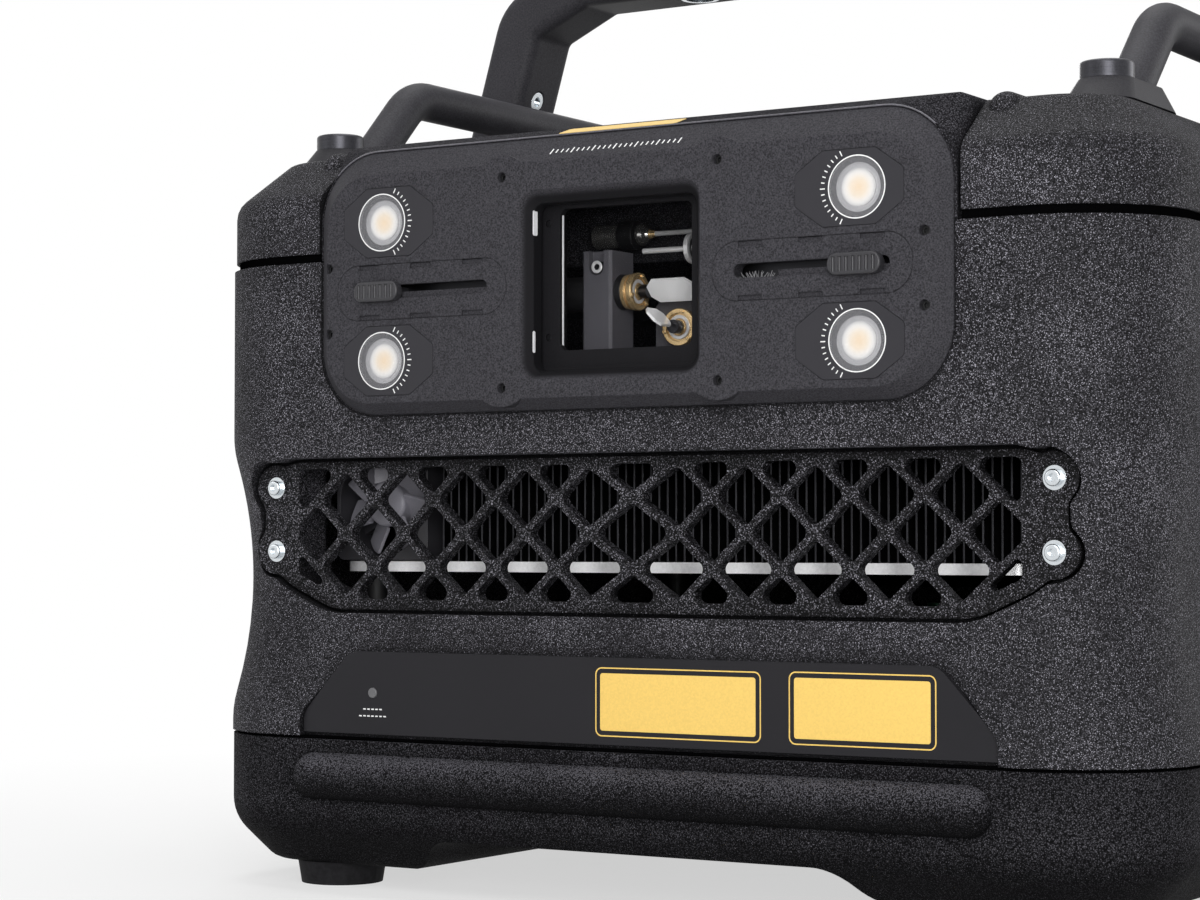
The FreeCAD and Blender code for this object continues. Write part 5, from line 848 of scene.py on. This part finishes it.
strobe_marks()
aperture_marks()
emission_marks()
yellow_plates()
bristles()
motors()
adjuster()
clamp_screw_rim()
window_edges()
hood_lip_highlight()
dust_filter()


def seen_directly(tree):
    """One for camera, mirror and glass rays, nought for the light that reaches the object."""
    path = tree.nodes.new("ShaderNodeLightPath")
    total = path.outputs["Is Camera Ray"]
    for name in ("Is Glossy Ray", "Is Transmission Ray"):
        more = tree.nodes.new("ShaderNodeMath")
        more.operation = "MAXIMUM"
        tree.links.new(total, more.inputs[0])
        tree.links.new(path.outputs[name], more.inputs[1])
        total = more.outputs[0]
    return total


def stage_floor():
    """Pale floor that keeps the object's shadow and fades to white away from it."""
    floor_size, fade_start, fade_end, white_near = 40, 0.34, 0.75, 0.6
    bpy.ops.mesh.primitive_plane_add(size=floor_size, location=(0, 0, 0))
    floor = bpy.context.object
    floor.name = "floor"
    g = Graph("floor", (0.90, 0.90, 0.90), roughness=0.8, specular=0.1)
    g.feed(g.ramp(g.noise(0.004), [(0.3, (0.89, 0.89, 0.89)), (0.7, (0.91, 0.91, 0.91))]), "Base Color")
    place = g.node("TexCoord").outputs["Object"]
    reach = g.node("VectorMath", {0: place}, operation="LENGTH").outputs["Value"]
    limits = {"Value": reach, "From Min": fade_start, "From Max": fade_end,
              "To Min": white_near, "To Max": 1.0}
    fade = g.node("MapRange", limits, interpolation_type="SMOOTHSTEP")
    share = g.math("MULTIPLY", fade.outputs[0], seen_directly(g.material.node_tree))
    white = g.node("Emission", {"Color": (1, 1, 1, 1), "Strength": 1.0})
    mix = g.node("MixShader", {0: share, 1: g.shader.outputs[0], 2: white.outputs[0]})
    g.links.new(mix.outputs[0], g.nodes["Material Output"].inputs["Surface"])
    floor.data.materials.append(g.material)


def area_light(name, place, target, size, power):
    """Soft box at a place, turned to face a target; size is its width and height, power in watts."""
    data = bpy.data.lights.new(name, "AREA")
    data.shape = "RECTANGLE"
    data.size, data.size_y = size
    data.energy = power
    lamp = bpy.data.objects.new(name, data)
    bpy.context.scene.collection.objects.link(lamp)
    lamp.location = place
    lamp.rotation_euler = (Vector(target) - Vector(place)).to_track_quat("-Z", "Y").to_euler()


def studio():
    """Soft boxes in front, above and behind, in a white room."""
    room_light = 0.15
    world = bpy.data.worlds.new("studio")
    bpy.context.scene.world = world
    world.use_nodes = True
    tree = world.node_tree
    sky = tree.nodes["Background"]
    sky.inputs["Color"].default_value = (1, 1, 1, 1)
    level = tree.nodes.new("ShaderNodeMapRange")
    level.inputs["To Min"].default_value = room_light
    level.inputs["To Max"].default_value = 1.0
    tree.links.new(seen_directly(tree), level.inputs["Value"])
    tree.links.new(level.outputs[0], sky.inputs["Strength"])
    area_light("key", (0.50, -1.35, 1.15), (0.10, -0.2, 0.27), (1.0, 0.8), 8)
    area_light("right", (1.05, -1.85, 0.38), (0.05, -0.2, 0.23), (1.0, 0.7), 24)
    area_light("left", (-1.4, -1.5, 0.9), (0, -0.1, 0.22), (0.8, 0.8), 2.5)
    area_light("top", (0, 0.1, 1.8), (0, 0, 0.2), (1.4, 1.4), 19)
    area_light("back_left", (-1.3, 1.6, 0.8), (0, 0.1, 0.18), (1.0, 0.8), 10)
    area_light("back_right", (1.3, 1.6, 0.8), (0, 0.1, 0.18), (1.0, 0.8), 10)


def photo_camera():
    """Low camera in front of the object and to its right."""
    data = bpy.data.cameras.new("photo")
    data.lens = camera_lens
    data.sensor_width = camera_sensor
    camera = bpy.data.objects.new("photo", data)
    bpy.context.scene.collection.objects.link(camera)
    camera.location = camera_place
    camera.rotation_euler = [math.radians(a) for a in camera_turn]
    bpy.context.scene.camera = camera


stage_floor()
studio()
photo_camera()
bpy.context.scene.view_settings.view_transform = "Standard"
